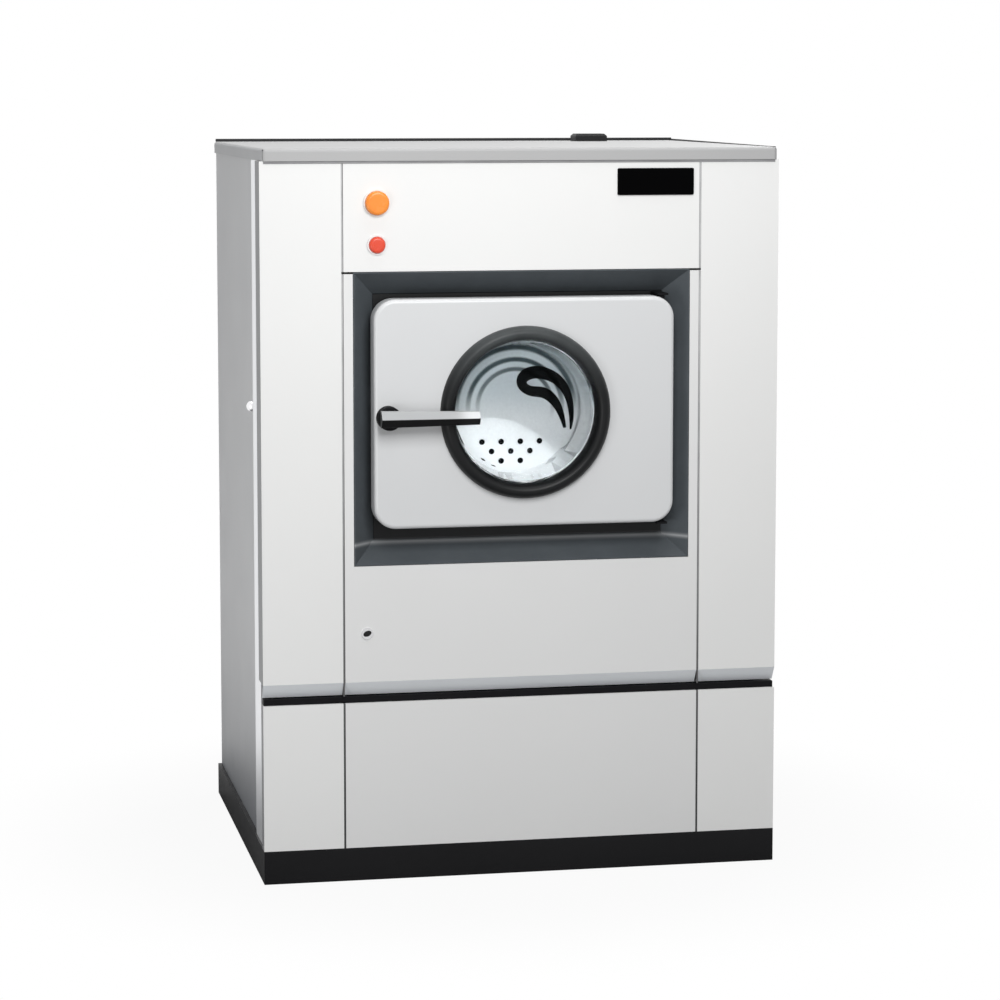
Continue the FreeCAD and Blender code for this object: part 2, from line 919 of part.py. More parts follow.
kick_z = (S.plinth_height, kick_top)
kick_y = (front, post_front)
kick_left = tray("kick_panel_left", (-side, -column_edge), kick_y, kick_z, S.panel_sheet)
keep(kick_left)
keep(tray("kick_panel_centre", (-centre_half, centre_half), kick_y, kick_z, S.panel_sheet))
keep(mirrored("kick_panel_right", kick_left))

keep(block(
    "recess_strip",
    (S.panel_sheet - side, side - S.panel_sheet),
    (front + S.strip_setback, post_front),
    (kick_top, bevel_bottom - S.strip_gap),
))

# Control fascia with its window, buttons and the box of controls behind it.

buttons = (
    ("start_button", lid_bottom - S.start_button_drop, S.start_button_radius, S.start_button_proud),
    ("stop_button", lid_bottom - S.stop_button_drop, S.stop_button_radius, S.stop_button_proud),
)
fascia_x = (-centre_half, centre_half)
fascia_z = (fascia_bottom, lid_bottom)
fascia = tray("control_fascia", fascia_x, (front, post_front), fascia_z, S.panel_sheet)
for name, height, radius, proud in buttons:
    hole = disc(-button_offset, height, radius + S.loose_clearance)
    pocket(fascia, "Y", front, front + S.panel_sheet, hole)
keep(fascia)

window = new_body("display_window")
window_right = centre_half - S.display_side_gap
window_left = window_right - S.display_width
window_top = lid_bottom - S.display_top_gap
window_bottom = window_top - S.display_height
window_outline = rounded_rectangle(
    window_left, window_right, window_bottom, window_top, S.display_corner_radius,
)
pad(window, "Y", front - S.display_thickness, front, window_outline)
keep(window)

bezels = []
for name, height, radius, proud in buttons:
    bezel = new_body(f"{name}_bezel", -button_offset, height)
    bore = radius + S.loose_clearance
    revolve(bezel, [
        (front - S.bezel_height, bore),
        (front, bore),
        (front, bore + S.bezel_width),
        (front - S.bezel_height, bore + S.bezel_width),
    ])
    bezels.append(bezel)
    cap_back = front - proud + S.button_cap_depth + S.button_dome_radius
    button = new_body(name, -button_offset, height)
    revolve(button, [
        (front - proud, zero),
        (front - proud, radius),
        (cap_back, radius),
        (cap_back, S.button_stem_radius),
        (cap_back + S.button_stem_length, S.button_stem_radius),
        (cap_back + S.button_stem_length, zero),
    ])
    fillet(button, S.button_dome_radius, circle_at(front - proud, radius))
    keep(button)
keep(group("button_bezels", *bezels))

keep(block(
    "control_box",
    (S.control_box_button_gap - button_offset, centre_half - S.control_box_side_gap),
    (front + S.panel_sheet, front + S.panel_sheet + S.control_box_depth),
    (fascia_bottom + S.control_box_rise, lid_bottom - S.control_box_drop),
))

# Door surround: four walls that slope in to a floor with a round opening, and two tabs on the posts.

surround = new_body("door_surround")


def surround_frame(inset, level):
    """Sketch of the surround's outline at one depth."""
    sketch = sketch_on(surround, "XZ_Plane", -level)
    rectangle(
        inset - surround_half, surround_half - inset,
        surround_bottom + inset, surround_top - inset,
    )(sketch)
    return sketch


def surround_loft(kind, near, far):
    loft = surround.newObject(kind, "Loft")
    loft.Profile = near
    loft.Sections = [far]
    loft.Ruled = True
    doc.recompute()
    return loft


surround_back = surround_floor + S.surround_wall
surround_loft(
    "PartDesign::AdditiveLoft",
    surround_frame(zero, front),
    surround_frame(S.surround_slope, surround_back),
)
tab_z = (axis_height - S.surround_tab_height / 2, axis_height + S.surround_tab_height / 2)
tab_y = (post_front - S.surround_wall, post_front)
tab_inner = surround_half - S.surround_slope
tab_outer = front_post_x[0] + S.surround_tab_reach
pad(surround, "Y", tab_y[0], tab_y[1], rectangle(tab_inner, tab_outer, tab_z[0], tab_z[1]))
pad(surround, "Y", tab_y[0], tab_y[1], rectangle(-tab_outer, -tab_inner, tab_z[0], tab_z[1]))
surround_loft(
    "PartDesign::SubtractiveLoft",
    surround_frame(S.surround_lip, front),
    surround_frame(S.surround_slope + S.surround_lip, surround_floor),
)
surround_hole = disc(zero, axis_height, S.surround_hole_radius)
pocket(surround, "Y", surround_floor, surround_back, surround_hole)
keep(surround)

# Door hinge: two arms on the floor of the surround, each with a pin that enters the door.

hinge_x = door_half - S.hinge_inset
hinge_y = door_front + S.hinge_setback
arm_x = (hinge_x - S.hinge_arm_width / 2, hinge_x + S.hinge_arm_width / 2)
arm_y = (hinge_y - S.hinge_arm_width / 2, surround_floor)
foot_y = (surround_floor - S.hinge_foot_thickness, surround_floor)
arm_bottom = door_top + S.hinge_gap
arm_top = arm_bottom + S.hinge_arm_thickness
low_arm_top = door_bottom - S.hinge_gap
low_arm_bottom = low_arm_top - S.hinge_arm_thickness
keep(group(
    "door_hinge_pintles",
    fused(
        "upper_pintle",
        block("upper_arm", arm_x, arm_y, (arm_bottom, arm_top)),
        block("upper_foot", arm_x, foot_y, (arm_top - S.hinge_foot_height, arm_top)),
        rod(
            "upper_pin", "Z", hinge_x, hinge_y, (door_top - S.hinge_pin_reach, arm_top), S.hinge_pin_radius,
        ),
    ),
    fused(
        "lower_pintle",
        block("lower_arm", arm_x, arm_y, (low_arm_bottom, low_arm_top)),
        block("lower_foot", arm_x, foot_y, (low_arm_bottom, low_arm_bottom + S.hinge_foot_height)),
        rod(
            "lower_pin", "Z", hinge_x, hinge_y,
            (low_arm_bottom, door_bottom + S.hinge_pin_reach), S.hinge_pin_radius,
        ),
    ),
))

# Door: a round-cornered shell, a back plate, and bored blocks for the hinge pins.

handle_height = axis_height - S.handle_drop
spindle_bore = S.spindle_radius + S.running_clearance
pin_bore = S.hinge_pin_radius + S.running_clearance

shell = new_body("door_shell")
shell_inner = door_front + S.door_wall
shell_half = door_half - S.door_wall
shell_z = (door_bottom + S.door_wall, door_top - S.door_wall)
shell_corner = S.door_corner_radius - S.door_wall
pad(shell, "Y", door_front, door_back, rounded_rectangle(
    -door_half, door_half, door_bottom, door_top, S.door_corner_radius,
))
fillet(shell, S.door_edge_radius, lies_at("Y", door_front))
pocket(shell, "Y", shell_inner, door_back, rounded_rectangle(
    -shell_half, shell_half, shell_z[0], shell_z[1], shell_corner,
))
pocket(shell, "Y", door_front, shell_inner, disc(zero, axis_height, S.porthole_radius))
pocket(shell, "Y", door_front, shell_inner, disc(-handle_offset, handle_height, spindle_bore))
block_top = door_top - S.hinge_block_drop
block_bottom = door_bottom + S.hinge_block_drop
pocket(shell, "Z", block_top, door_top, disc(hinge_x, hinge_y, pin_bore))
pocket(shell, "Z", door_bottom, block_bottom, disc(hinge_x, hinge_y, pin_bore))
keep(shell)

plate = new_body("door_back_plate")
plate_half = shell_half - S.loose_clearance
plate_front = door_back - S.door_wall
pad(plate, "Y", plate_front, door_back, rounded_rectangle(
    -plate_half, plate_half,
    shell_z[0] + S.loose_clearance, shell_z[1] - S.loose_clearance,
    shell_corner - S.loose_clearance,
))
pocket(plate, "Y", plate_front, door_back, disc(zero, axis_height, S.back_plate_hole_radius))
pocket(plate, "Y", plate_front, door_back, disc(-handle_offset, handle_height, spindle_bore))
keep(plate)

hinge_blocks = []
block_y = (shell_inner, hinge_y + S.hinge_arm_width / 2)
for span in (
    (block_top - S.hinge_block_height, block_top),
    (block_bottom, block_bottom + S.hinge_block_height),
):
    bearing = block("hinge_block_body", arm_x, block_y, span)
    bore = rod("hinge_block_bore", "Z", hinge_x, hinge_y, span, pin_bore)
    hinge_blocks.append(cut("hinge_block", bearing, bore))
keep(group("door_hinge_blocks", *hinge_blocks))

# Porthole: a domed ring in front, a glass bowl, and a clamp ring behind the glass rim.

ring = new_body("door_ring", z=axis_height)
ring_front = door_front - S.ring_height
glass_front = door_front + S.ring_spigot
revolve(ring, [
    (ring_front, S.ring_inner_radius),
    (ring_front, S.ring_outer_radius),
    (door_front, S.ring_outer_radius),
    (door_front, S.porthole_radius - S.loose_clearance),
    (glass_front, S.porthole_radius - S.loose_clearance),
    (glass_front, S.ring_inner_radius),
])
fillet(ring, S.ring_outer_round, circle_at(ring_front, S.ring_outer_radius))
fillet(ring, S.ring_inner_round, circle_at(ring_front, S.ring_inner_radius))
keep(ring)

glass = new_body("door_glass", z=axis_height)
rim_back = glass_front + S.glass_rim_thickness
bowl_end = rim_back + S.bowl_depth
bowl_inner_end = bowl_end - S.glass_wall
bowl_inner_radius = S.bowl_end_radius - S.glass_wall
revolve(glass, [
    (glass_front, S.bowl_mouth_radius - S.glass_wall),
    (glass_front, S.glass_rim_radius),
    (rim_back, S.glass_rim_radius),
    (rim_back, S.bowl_mouth_radius),
    (bowl_end, S.bowl_end_radius),
    (bowl_end, zero),
    (bowl_inner_end, zero),
    (bowl_inner_end, bowl_inner_radius),
])
fillet(glass, S.bowl_round, circle_at(bowl_end, S.bowl_end_radius))
fillet(glass, S.bowl_round - S.glass_wall, circle_at(bowl_inner_end, bowl_inner_radius))
keep(glass)

clamp = new_body("glass_clamp_ring", z=axis_height)
clamp_bore = S.porthole_radius + S.loose_clearance
lip_bore = S.bowl_mouth_radius + S.loose_clearance
revolve(clamp, [
    (shell_inner, clamp_bore),
    (shell_inner, S.clamp_outer_radius),
    (rim_back + S.clamp_lip, S.clamp_outer_radius),
    (rim_back + S.clamp_lip, lip_bore),
    (rim_back, lip_bore),
    (rim_back, clamp_bore),
])
keep(clamp)

# Handle: a boss on the door, a ridged lever, and a spindle with a cam behind the door.

lever_back = door_front - S.handle_stand_off
boss = new_body("handle_boss", -handle_offset, handle_height)
boss_back = door_front - S.loose_clearance
revolve(boss, [
    (lever_back, spindle_bore),
    (lever_back, S.handle_boss_radius),
    (boss_back, S.handle_boss_radius),
    (boss_back, spindle_bore),
])
fillet(boss, S.handle_round, circle_at(lever_back, S.handle_boss_radius))
keep(boss)

lever = new_body("handle_lever", -handle_offset, handle_height)


lever_edge = lever_back - S.handle_edge_depth
lever_ridge = lever_back - S.handle_ridge_depth
pad(lever, "Y", lever_ridge, lever_back, polygon([
    (-S.handle_heel, -S.handle_root_half),
    (S.handle_length, -S.handle_tip_half),
    (S.handle_length, S.handle_tip_half),
    (-S.handle_heel, S.handle_root_half),
]))
for way in (1, -1):
    facet = polygon([
        (lever_edge, S.handle_root_half * way),
        (lever_ridge, S.handle_root_half * way),
        (lever_ridge, zero),
    ])
    pocket(lever, "X", -S.handle_heel, S.handle_length, facet)
fillet(lever, S.handle_round, lambda edge: edge.Length > S.handle_length.number)
keep(lever)

cam_front = door_back + S.cam_gap
cam_back = cam_front + S.cam_thickness
spindle = new_body("latch_spindle", -handle_offset, handle_height)
pad(spindle, "Y", lever_back, cam_back, disc(zero, zero, S.spindle_radius))
cam_outline = rectangle(zero, S.cam_length, -S.cam_width / 2, S.cam_width / 2)
pad(spindle, "Y", cam_front, cam_back, cam_outline)
keep(spindle)

keeper_x = (-handle_offset - S.keeper_width / 2, S.keeper_width / 2 - handle_offset)
keeper_bottom = handle_height + S.keeper_rise
keeper_z = (keeper_bottom, keeper_bottom + S.keeper_height)
keeper = block("keeper_block", keeper_x, (door_back + S.keeper_front_gap, surround_floor), keeper_z)
keeper_slot = block(
    "keeper_slot",
    (-handle_offset - S.cam_width / 2 - S.keeper_side_play, keeper_x[1]),
    (cam_front - S.keeper_slot_play, cam_back + S.keeper_slot_play),
    (keeper_bottom, keeper_z[1] - S.keeper_roof),
)
keep(cut("latch_keeper", keeper, keeper_slot))

# Service panel: a U round the surround, hung on two pintles at its right edge, with a cam lock at its left.

service_hinge_x = centre_half - S.service_hinge_inset
service_hinge_y = front + S.service_hinge_setback
service_pin_bore = S.service_pin_radius + S.running_clearance
service_top = fascia_bottom - S.seam_gap
service_cutout = surround_bottom - S.service_gap
sheet_back = front + S.panel_sheet
hinge_heights = (bevel_bottom + S.lower_hinge_rise, bevel_bottom + S.upper_hinge_rise)

service = new_body("service_panel")
pad(service, "X", -centre_half, centre_half, bevel_section(service_cutout))
for strip_x in ((-centre_half, -strip_inner), (strip_inner, centre_half)):
    strip = rectangle(strip_x[0], strip_x[1], bevel_top, service_top)
    pad(service, "Y", front, sheet_back, strip)
service_return = rectangle(-centre_half, S.panel_sheet - centre_half, front, front + S.service_side_return)
pad(service, "Z", bevel_top, service_top, service_return)
for height in hinge_heights:
    knuckle_z = (height + S.loose_clearance, height + S.service_knuckle_height)
    leaf_back = sheet_back + S.service_leaf_thickness
    leaf = rectangle(service_hinge_x - S.service_leaf_width, service_hinge_x, sheet_back, leaf_back)
    pad(service, "Z", knuckle_z[0], knuckle_z[1], leaf)
    knuckle = disc(service_hinge_x, service_hinge_y, S.service_knuckle_radius)
    pad(service, "Z", knuckle_z[0], knuckle_z[1], knuckle)
    bore = disc(service_hinge_x, service_hinge_y, service_pin_bore)
    pocket(service, "Z", knuckle_z[0], knuckle_z[1], bore)
lock_bore = S.lock_barrel_radius + S.running_clearance
pocket(service, "Y", front, sheet_back, disc(-lock_offset, lock_height, lock_bore))
keep(service)

pintles = []
for height in hinge_heights:
    bracket_z = (height - S.service_knuckle_height, height)
    pin_z = (bracket_z[0], height + S.service_knuckle_height)
    bracket_left = service_hinge_x - S.service_knuckle_radius
    pintles.append(fused(
        "service_pintle",
        block(
            "service_bracket",
            (bracket_left, bracket_left + S.service_bracket_thickness),
            (service_hinge_y, post_front),
            bracket_z,
        ),
        rod("service_barrel", "Z", service_hinge_x, service_hinge_y, bracket_z, S.service_knuckle_radius),
        rod("service_pin", "Z", service_hinge_x, service_hinge_y, pin_z, S.service_pin_radius),
    ))
keep(group("service_hinge_pintles", *pintles))

lock = new_body("panel_lock", -lock_offset, lock_height)
lock_cam_back = lock_cam_front + S.lock_cam_thickness
pad(lock, "Y", front - S.lock_flange_height, front, disc(zero, zero, S.lock_flange_radius))
pad(lock, "Y", front, lock_cam_front, disc(zero, zero, S.lock_barrel_radius))
lock_cam = rectangle(-S.lock_cam_width / 2, S.lock_cam_width / 2, -S.lock_cam_length, S.lock_cam_width / 2)
pad(lock, "Y", lock_cam_front, lock_cam_back, lock_cam)
key_slot = rectangle(
    -S.lock_slot_length / 2, S.lock_slot_length / 2, -S.lock_slot_width / 2, S.lock_slot_width / 2,
)
slot_front = front - S.lock_flange_height
pocket(lock, "Y", slot_front, slot_front + S.lock_slot_depth, key_slot)
keep(lock)

# Sides, rear and top.

trim_face = S.trim_inset - side
side_face = S.side_inset - side
side_inner = side_face + S.side_return
trim_front = front + S.column_side_return
trim_rear = trim_front + S.trim_width
cabinet_z = (S.plinth_height, lid_bottom)
rear_face = back - S.panel_sheet
left_trim = side_tray(
    "left_corner_trim",
    (trim_face, side_inner),
    (trim_front, trim_rear - S.panel_sheet),
    cabinet_z,
    S.panel_sheet,
)
keep(group("corner_trims", left_trim, mirrored("right_corner_trim", left_trim)))
left_side = side_tray(
    "left_side_panel", (side_face, side_inner), (trim_rear, rear_face), cabinet_z, S.panel_sheet,
)
keep(left_side)
keep(mirrored("right_side_panel", left_side))

water_offsets = (S.cold_water_offset, S.hot_water_offset)
water_height = lid_bottom - S.water_inlet_drop
gland_height = lid_bottom - S.gland_drop
rear = new_body("rear_panel")
rear_edge = side - S.side_inset
pad(rear, "Y", rear_face, back, rectangle(-rear_edge, rear_edge, S.plinth_height, lid_bottom))
water_holes = discs(
    [(-offset, water_height) for offset in water_offsets], S.water_stub_radius + S.loose_clearance,
)
pocket(rear, "Y", rear_face, back, water_holes)
outlet_hole = disc(zero, S.outlet_height, S.outlet_radius + S.loose_clearance)
pocket(rear, "Y", rear_face, back, outlet_hole)
gland_hole = disc(S.gland_offset, gland_height, S.gland_thread_radius + S.loose_clearance)
pocket(rear, "Y", rear_face, back, gland_hole)
keep(rear)

screws = []
screw_x = rear_edge - S.screw_inset
screw_span = (back, back + S.screw_head_height)
for x in (-screw_x, zero, screw_x):
    for z in (S.plinth_height + S.screw_inset, axis_height, lid_bottom - S.screw_inset):
        screws.append(rod("rear_panel_screw", "Y", x, screw_span, z, S.screw_head_radius))
keep(group("rear_panel_screws", *screws))

cover = new_body("top_cover")
cover_x = side - S.trim_inset
cover_y = (front - S.lid_overhang, back + S.lid_overhang)
pad(cover, "Z", lid_bottom, S.body_height, rectangle(-cover_x, cover_x, cover_y[0], cover_y[1]))
fillet(cover, S.lid_corner_radius, runs_along("Z"))
fillet(cover, S.lid_edge_radius, lies_at("Z", S.body_height))
cover_inner = rectangle(
    S.panel_sheet - cover_x, cover_x - S.panel_sheet,
    cover_y[0] + S.panel_sheet, cover_y[1] - S.panel_sheet,
)
pocket(cover, "Z", lid_bottom, frame_top, cover_inner)
vent_hole = disc(S.vent_offset, vent_middle, S.vent_pipe_radius + S.loose_clearance)
pocket(cover, "Z", frame_top, S.body_height, vent_hole)
keep(cover)

cap = new_body("vent_cap")
cap_x = (S.vent_offset - S.vent_cap_width / 2, S.vent_offset + S.vent_cap_width / 2)
cap_y = (vent_middle - S.vent_cap_depth / 2, vent_middle + S.vent_cap_depth / 2)
cap_top = S.body_height + S.vent_cap_height
pad(cap, "Z", S.body_height, cap_top, rectangle(cap_x[0], cap_x[1], cap_y[0], cap_y[1]))
chamfer(cap, S.vent_cap_chamfer, lies_at("Z", cap_top))
cap_inner = rectangle(
    cap_x[0] + S.vent_cap_wall, cap_x[1] - S.vent_cap_wall,
    cap_y[0] + S.vent_cap_wall, cap_y[1],
)
slot_top = cap_top - S.vent_cap_chamfer - S.vent_cap_wall
pocket(cap, "Z", S.body_height, slot_top, cap_inner)
keep(cap)

# Tub with its neck and the door gasket.

gasket_back = surround_floor + S.loose_clearance
neck_inner = S.neck_radius - S.tub_wall
head_front = tub_front - S.front_head_thickness
water_drop = tub_rear - S.water_drop_inset

tub = new_body("tub_shell", z=axis_height)
revolve(tub, [
    (tub_front, tub_inner),
    (tub_front, tub_radius),
    (tub_rear, tub_radius),
    (tub_rear, tub_inner),
])
drain_hole = disc(zero, drain_middle, S.drain_radius + S.loose_clearance)
pocket(tub, "Z", -tub_radius, zero, drain_hole)
water_ports = discs(
    [(-offset, water_drop) for offset in water_offsets], S.water_pipe_radius + S.loose_clearance,
)
pocket(tub, "Z", zero, tub_radius, water_ports)
keep(tub)

front_head = new_body("tub_front_head", z=axis_height)
revolve(front_head, [
    (gasket_back, neck_inner),
    (gasket_back, S.neck_radius),
    (head_front, S.neck_radius),
    (head_front, tub_radius),
    (tub_front, tub_radius),
    (tub_front, neck_inner),
])
keep(front_head)

heater_drop = chord_height(S.drum_radius + S.heater_gap, S.heater_half_spread)
rear_head = new_body("tub_rear_head", z=axis_height)
revolve(rear_head, [
    (tub_rear, S.rear_head_bore),
    (tub_rear, tub_radius),
    (housing_front, tub_radius),
    (housing_front, S.rear_head_bore),
])
vent_port = disc(S.vent_offset, S.vent_port_rise, S.vent_pipe_radius + S.loose_clearance)
pocket(rear_head, "Y", tub_rear, housing_front, vent_port)
heater_turns = (-S.heater_step_angle, zero, S.heater_step_angle)
heater_ports = []
for turn in heater_turns:
    for x in (-S.heater_half_spread, S.heater_half_spread):
        cosine = Size(math.cos(math.radians(turn.number)), f"cos({turn.text} * 1deg)")
        sine = Size(math.sin(math.radians(turn.number)), f"sin({turn.text} * 1deg)")
        heater_ports.append((x * cosine - heater_drop * sine, -heater_drop * cosine - x * sine))
pocket(rear_head, "Y", tub_rear, housing_front, discs(heater_ports, S.heater_radius + S.loose_clearance))
keep(rear_head)

gasket = new_body("door_gasket", z=axis_height)
gasket_front = door_back + S.loose_clearance
gasket_shoulder = gasket_front + S.gasket_tip_bevel
sleeve_bore = S.neck_radius + S.loose_clearance
revolve(gasket, [
    (gasket_back, S.gasket_seat_radius),
    (gasket_shoulder, S.gasket_lip_radius),
    (gasket_front, S.gasket_lip_radius + S.gasket_tip_bevel),
    (gasket_front, S.gasket_outer_radius - S.gasket_tip_bevel),
    (gasket_shoulder, S.gasket_outer_radius),
    (gasket_back + S.gasket_sleeve, S.gasket_outer_radius),
    (gasket_back + S.gasket_sleeve, sleeve_bore),
    (gasket_back, sleeve_bore),
])
keep(gasket)

# Drum: a perforated shell with a rolled mouth, a back, three lifters, a shaft and a pulley.

drum = new_body("drum_shell", z=axis_height)
lip_front = drum_front - S.drum_lip_depth
lip_outer = S.drum_mouth_radius + S.drum_lip_width
revolve(drum, [
    (lip_front, S.drum_mouth_radius),
    (lip_front, lip_outer),
    (drum_front, lip_outer),
    (drum_front, S.drum_radius),
    (drum_rear, S.drum_radius),
    (drum_rear, drum_inner),
    (drum_front + S.drum_wall, drum_inner),
    (drum_front + S.drum_wall, S.drum_mouth_radius),
])
fillet(drum, S.drum_lip_round, lies_at("Y", lip_front))
row = [(zero, drum_front + S.perforation_pitch * (index + 1)) for index in range(6)]
hole_span = (drum_inner - S.drum_wall, S.drum_radius + S.drum_wall)
holes = pocket(drum, "Z", hole_span[0], hole_span[1], discs(row, S.perforation_radius))
repeat_around(drum, holes, 24)
keep(drum)

drum_back = new_body("drum_rear_head", z=axis_height)
flange_front = drum_rear + S.drum_back_thickness
pad(drum_back, "Y", drum_rear, flange_front, disc(zero, zero, S.drum_radius))
keep(drum_back)

lifters = new_body("drum_lifters", z=axis_height)
lifter_base = chord_height(drum_inner - S.loose_clearance, S.lifter_base_half)
lifter_outline = polygon([
    (-S.lifter_base_half, lifter_base),
    (-S.lifter_top_half, lifter_base - S.lifter_height),
    (S.lifter_top_half, lifter_base - S.lifter_height),
    (S.lifter_base_half, lifter_base),
])
lifter = pad(lifters, "Y", drum_front + S.drum_wall + S.lifter_end_gap, drum_rear, lifter_outline)
repeat_around(lifters, lifter, 3)
turn_body(lifters, S.lifter_angle)
keep(lifters)

shaft = new_body("drum_shaft", z=axis_height)
flange_rear = flange_front + S.shaft_flange_thickness
shaft_end = back - S.shaft_end_setback
revolve(shaft, [
    (flange_front, zero),
    (flange_front, S.shaft_flange_radius),
    (flange_rear, S.shaft_flange_radius),
    (flange_rear, S.shaft_radius),
    (shaft_end, S.shaft_radius),
    (shaft_end, zero),
])
keep(shaft)

shaft_bore = S.shaft_radius + S.running_clearance
groove = (pulley_front + S.pulley_flange_width, pulley_rear - S.pulley_flange_width)
web = (pulley_front + S.pulley_web_inset, pulley_rear - S.pulley_web_inset)
rim_inner = S.drum_pulley_radius - S.pulley_rim_depth
rim_outer = S.drum_pulley_radius + S.pulley_flange_height
pulley = new_body("drum_pulley", z=axis_height)
revolve(pulley, [
    (pulley_front, shaft_bore),
    (pulley_front, S.pulley_hub_radius),
    (web[0], S.pulley_hub_radius),
    (web[0], rim_inner),
    (pulley_front, rim_inner),
    (pulley_front, rim_outer),
    (groove[0], rim_outer),
    (groove[0], S.drum_pulley_radius),
    (groove[1], S.drum_pulley_radius),
    (groove[1], rim_outer),
    (pulley_rear, rim_outer),
    (pulley_rear, rim_inner),
    (web[1], rim_inner),
    (web[1], S.pulley_hub_radius),
    (pulley_rear, S.pulley_hub_radius),
    (pulley_rear, shaft_bore),
])
web_hole = pocket(pulley, "Y", web[0], web[1], disc(zero, S.pulley_hole_circle, S.pulley_hole_radius))
repeat_around(pulley, web_hole, 5)
keep(pulley)

# Bearing housing on the rear head, with two bearings and a shaft seal.

housing = new_body("bearing_housing", z=axis_height)
seal_bore = S.seal_radius + S.running_clearance
bearing_bore = S.bearing_radius + S.running_clearance
bearing_front = housing_front + S.housing_front_wall
bearing_rear = housing_rear - S.housing_rear_lip
flange_back = housing_front + S.housing_flange_thickness
revolve(housing, [
    (housing_front, seal_bore),
    (housing_front, S.housing_flange_radius),
    (flange_back, S.housing_flange_radius),
    (flange_back, S.housing_radius),
    (housing_rear, S.housing_radius),
    (housing_rear, S.housing_rear_bore),
    (bearing_rear, S.housing_rear_bore),
    (bearing_rear, bearing_bore),
    (bearing_front, bearing_bore),
    (bearing_front, seal_bore),
])
keep(housing)


def shaft_ring(name, start, width, radius):
    """A plain ring about the shaft."""
    body = new_body(name, z=axis_height)
    end = start + width
    revolve(body, [(start, shaft_bore), (start, radius), (end, radius), (end, shaft_bore)])
    return body


keep(group(
    "shaft_bearings",
    shaft_ring("front_bearing", bearing_front, S.bearing_width, S.bearing_radius),
    shaft_ring("rear_bearing", bearing_rear - S.bearing_width, S.bearing_width, S.bearing_radius),
))
keep(shaft_ring("shaft_seal", housing_front, S.seal_width, S.seal_radius))

# Motor on its plate over the right rail, with its pulley and the belt.

motor_face = pulley_front - S.motor_pulley_gap
motor_y = (motor_face - S.motor_length, motor_face)
keep(block(
    "motor_plate",
    (S.rail_offset - S.motor_plate_half_width, S.rail_offset + S.motor_plate_half_width),
    (motor_y[0] - S.motor_plate_overhang, motor_y[1] + S.motor_plate_overhang),
    (rail_top, rail_top + S.motor_plate_thickness),
))
foot_bottom = rail_top + S.motor_plate_thickness
motor_top = motor_height + S.motor_radius
motor_middle = (motor_y[0] + motor_y[1]) / 2
motor_shape = fused(
    "motor_casing",
    rod("motor_barrel", "Y", S.rail_offset, motor_y, motor_height, S.motor_radius),
    block(
        "motor_foot",
        (S.rail_offset - S.motor_foot_half_width, S.rail_offset + S.motor_foot_half_width),
        (motor_y[0] + S.motor_foot_inset, motor_y[1] - S.motor_foot_inset),
        (foot_bottom, foot_bottom + S.motor_foot_height),
    ),
    block(
        "motor_terminal_box",
        (S.rail_offset - S.terminal_box_half, S.rail_offset + S.terminal_box_half),
        (motor_middle - S.terminal_box_half, motor_middle + S.terminal_box_half),
        (motor_height, motor_top + S.terminal_box_height),
    ),
)
shaft_seat = (motor_face - S.motor_shaft_depth, motor_face)
motor_bore = rod(
    "motor_bore", "Y", S.rail_offset, shaft_seat, motor_height,
    S.motor_shaft_radius + S.running_clearance,
)
keep(cut("motor", motor_shape, motor_bore))

motor_rim = S.motor_pulley_radius + S.pulley_flange_height
motor_pulley = new_body("motor_pulley", S.rail_offset, motor_height)
revolve(motor_pulley, [
    (shaft_seat[0] + S.loose_clearance, zero),
    (shaft_seat[0] + S.loose_clearance, S.motor_shaft_radius),
    (pulley_front, S.motor_shaft_radius),
    (pulley_front, motor_rim),
    (groove[0], motor_rim),
    (groove[0], S.motor_pulley_radius),
    (groove[1], S.motor_pulley_radius),
    (groove[1], motor_rim),
    (pulley_rear, motor_rim),
    (pulley_rear, zero),
])
keep(motor_pulley)


def belt_loop(sketch, gap):
    """A closed belt line around both pulleys, at a gap from their grooves."""
    wheels = (
        (zero, axis_height, S.drum_pulley_radius + gap),
        (S.rail_offset, motor_height, S.motor_pulley_radius + gap),
    )
    spots = [Vector(x.number, z.number, 0) for x, z, radius in wheels]
    radii = [radius.number for x, z, radius in wheels]
    heading = spots[1] - spots[0]
    lean = math.acos((radii[0] - radii[1]) / heading.Length)
    course = math.atan2(heading.y, heading.x)
    first = sketch.GeometryCount
    normal = Vector(0, 0, 1)
    large = Part.Circle(spots[0], normal, radii[0])
    small = Part.Circle(spots[1], normal, radii[1])
    touch = [
        [spots[i] + Vector(math.cos(course + turn), math.sin(course + turn), 0) * radii[i] for i in (0, 1)]
        for turn in (lean, -lean)
    ]
    sketch.addGeometry(Part.ArcOfCircle(large, course + lean, course - lean + 2 * math.pi))
    sketch.addGeometry(Part.LineSegment(touch[1][0], touch[1][1]))
    sketch.addGeometry(Part.ArcOfCircle(small, course - lean, course + lean))
    sketch.addGeometry(Part.LineSegment(touch[0][1], touch[0][0]))
    for index, following in ((0, 1), (1, 2), (2, 3), (3, 0)):
        sketch.addConstraint(Sketcher.Constraint("Tangent", first + index, 2, first + following, 1))
    for index, (x, z, radius) in ((0, wheels[0]), (2, wheels[1])):
        place_point(sketch, first + index, 3, x, z)
        held = sketch.addConstraint(Sketcher.Constraint("Radius", first + index, radius.number))
        bind(sketch, f"Constraints[{held}]", radius)


def belt_outline(sketch):
    belt_loop(sketch, S.loose_clearance + S.belt_thickness)
    belt_loop(sketch, S.loose_clearance)


belt = new_body("drive_belt")
pad(belt, "Y", groove[0] + S.belt_side_play, groove[1] - S.belt_side_play, belt_outline)
keep(belt)

# Heating elements: three U-shaped rods between the tub and the drum.

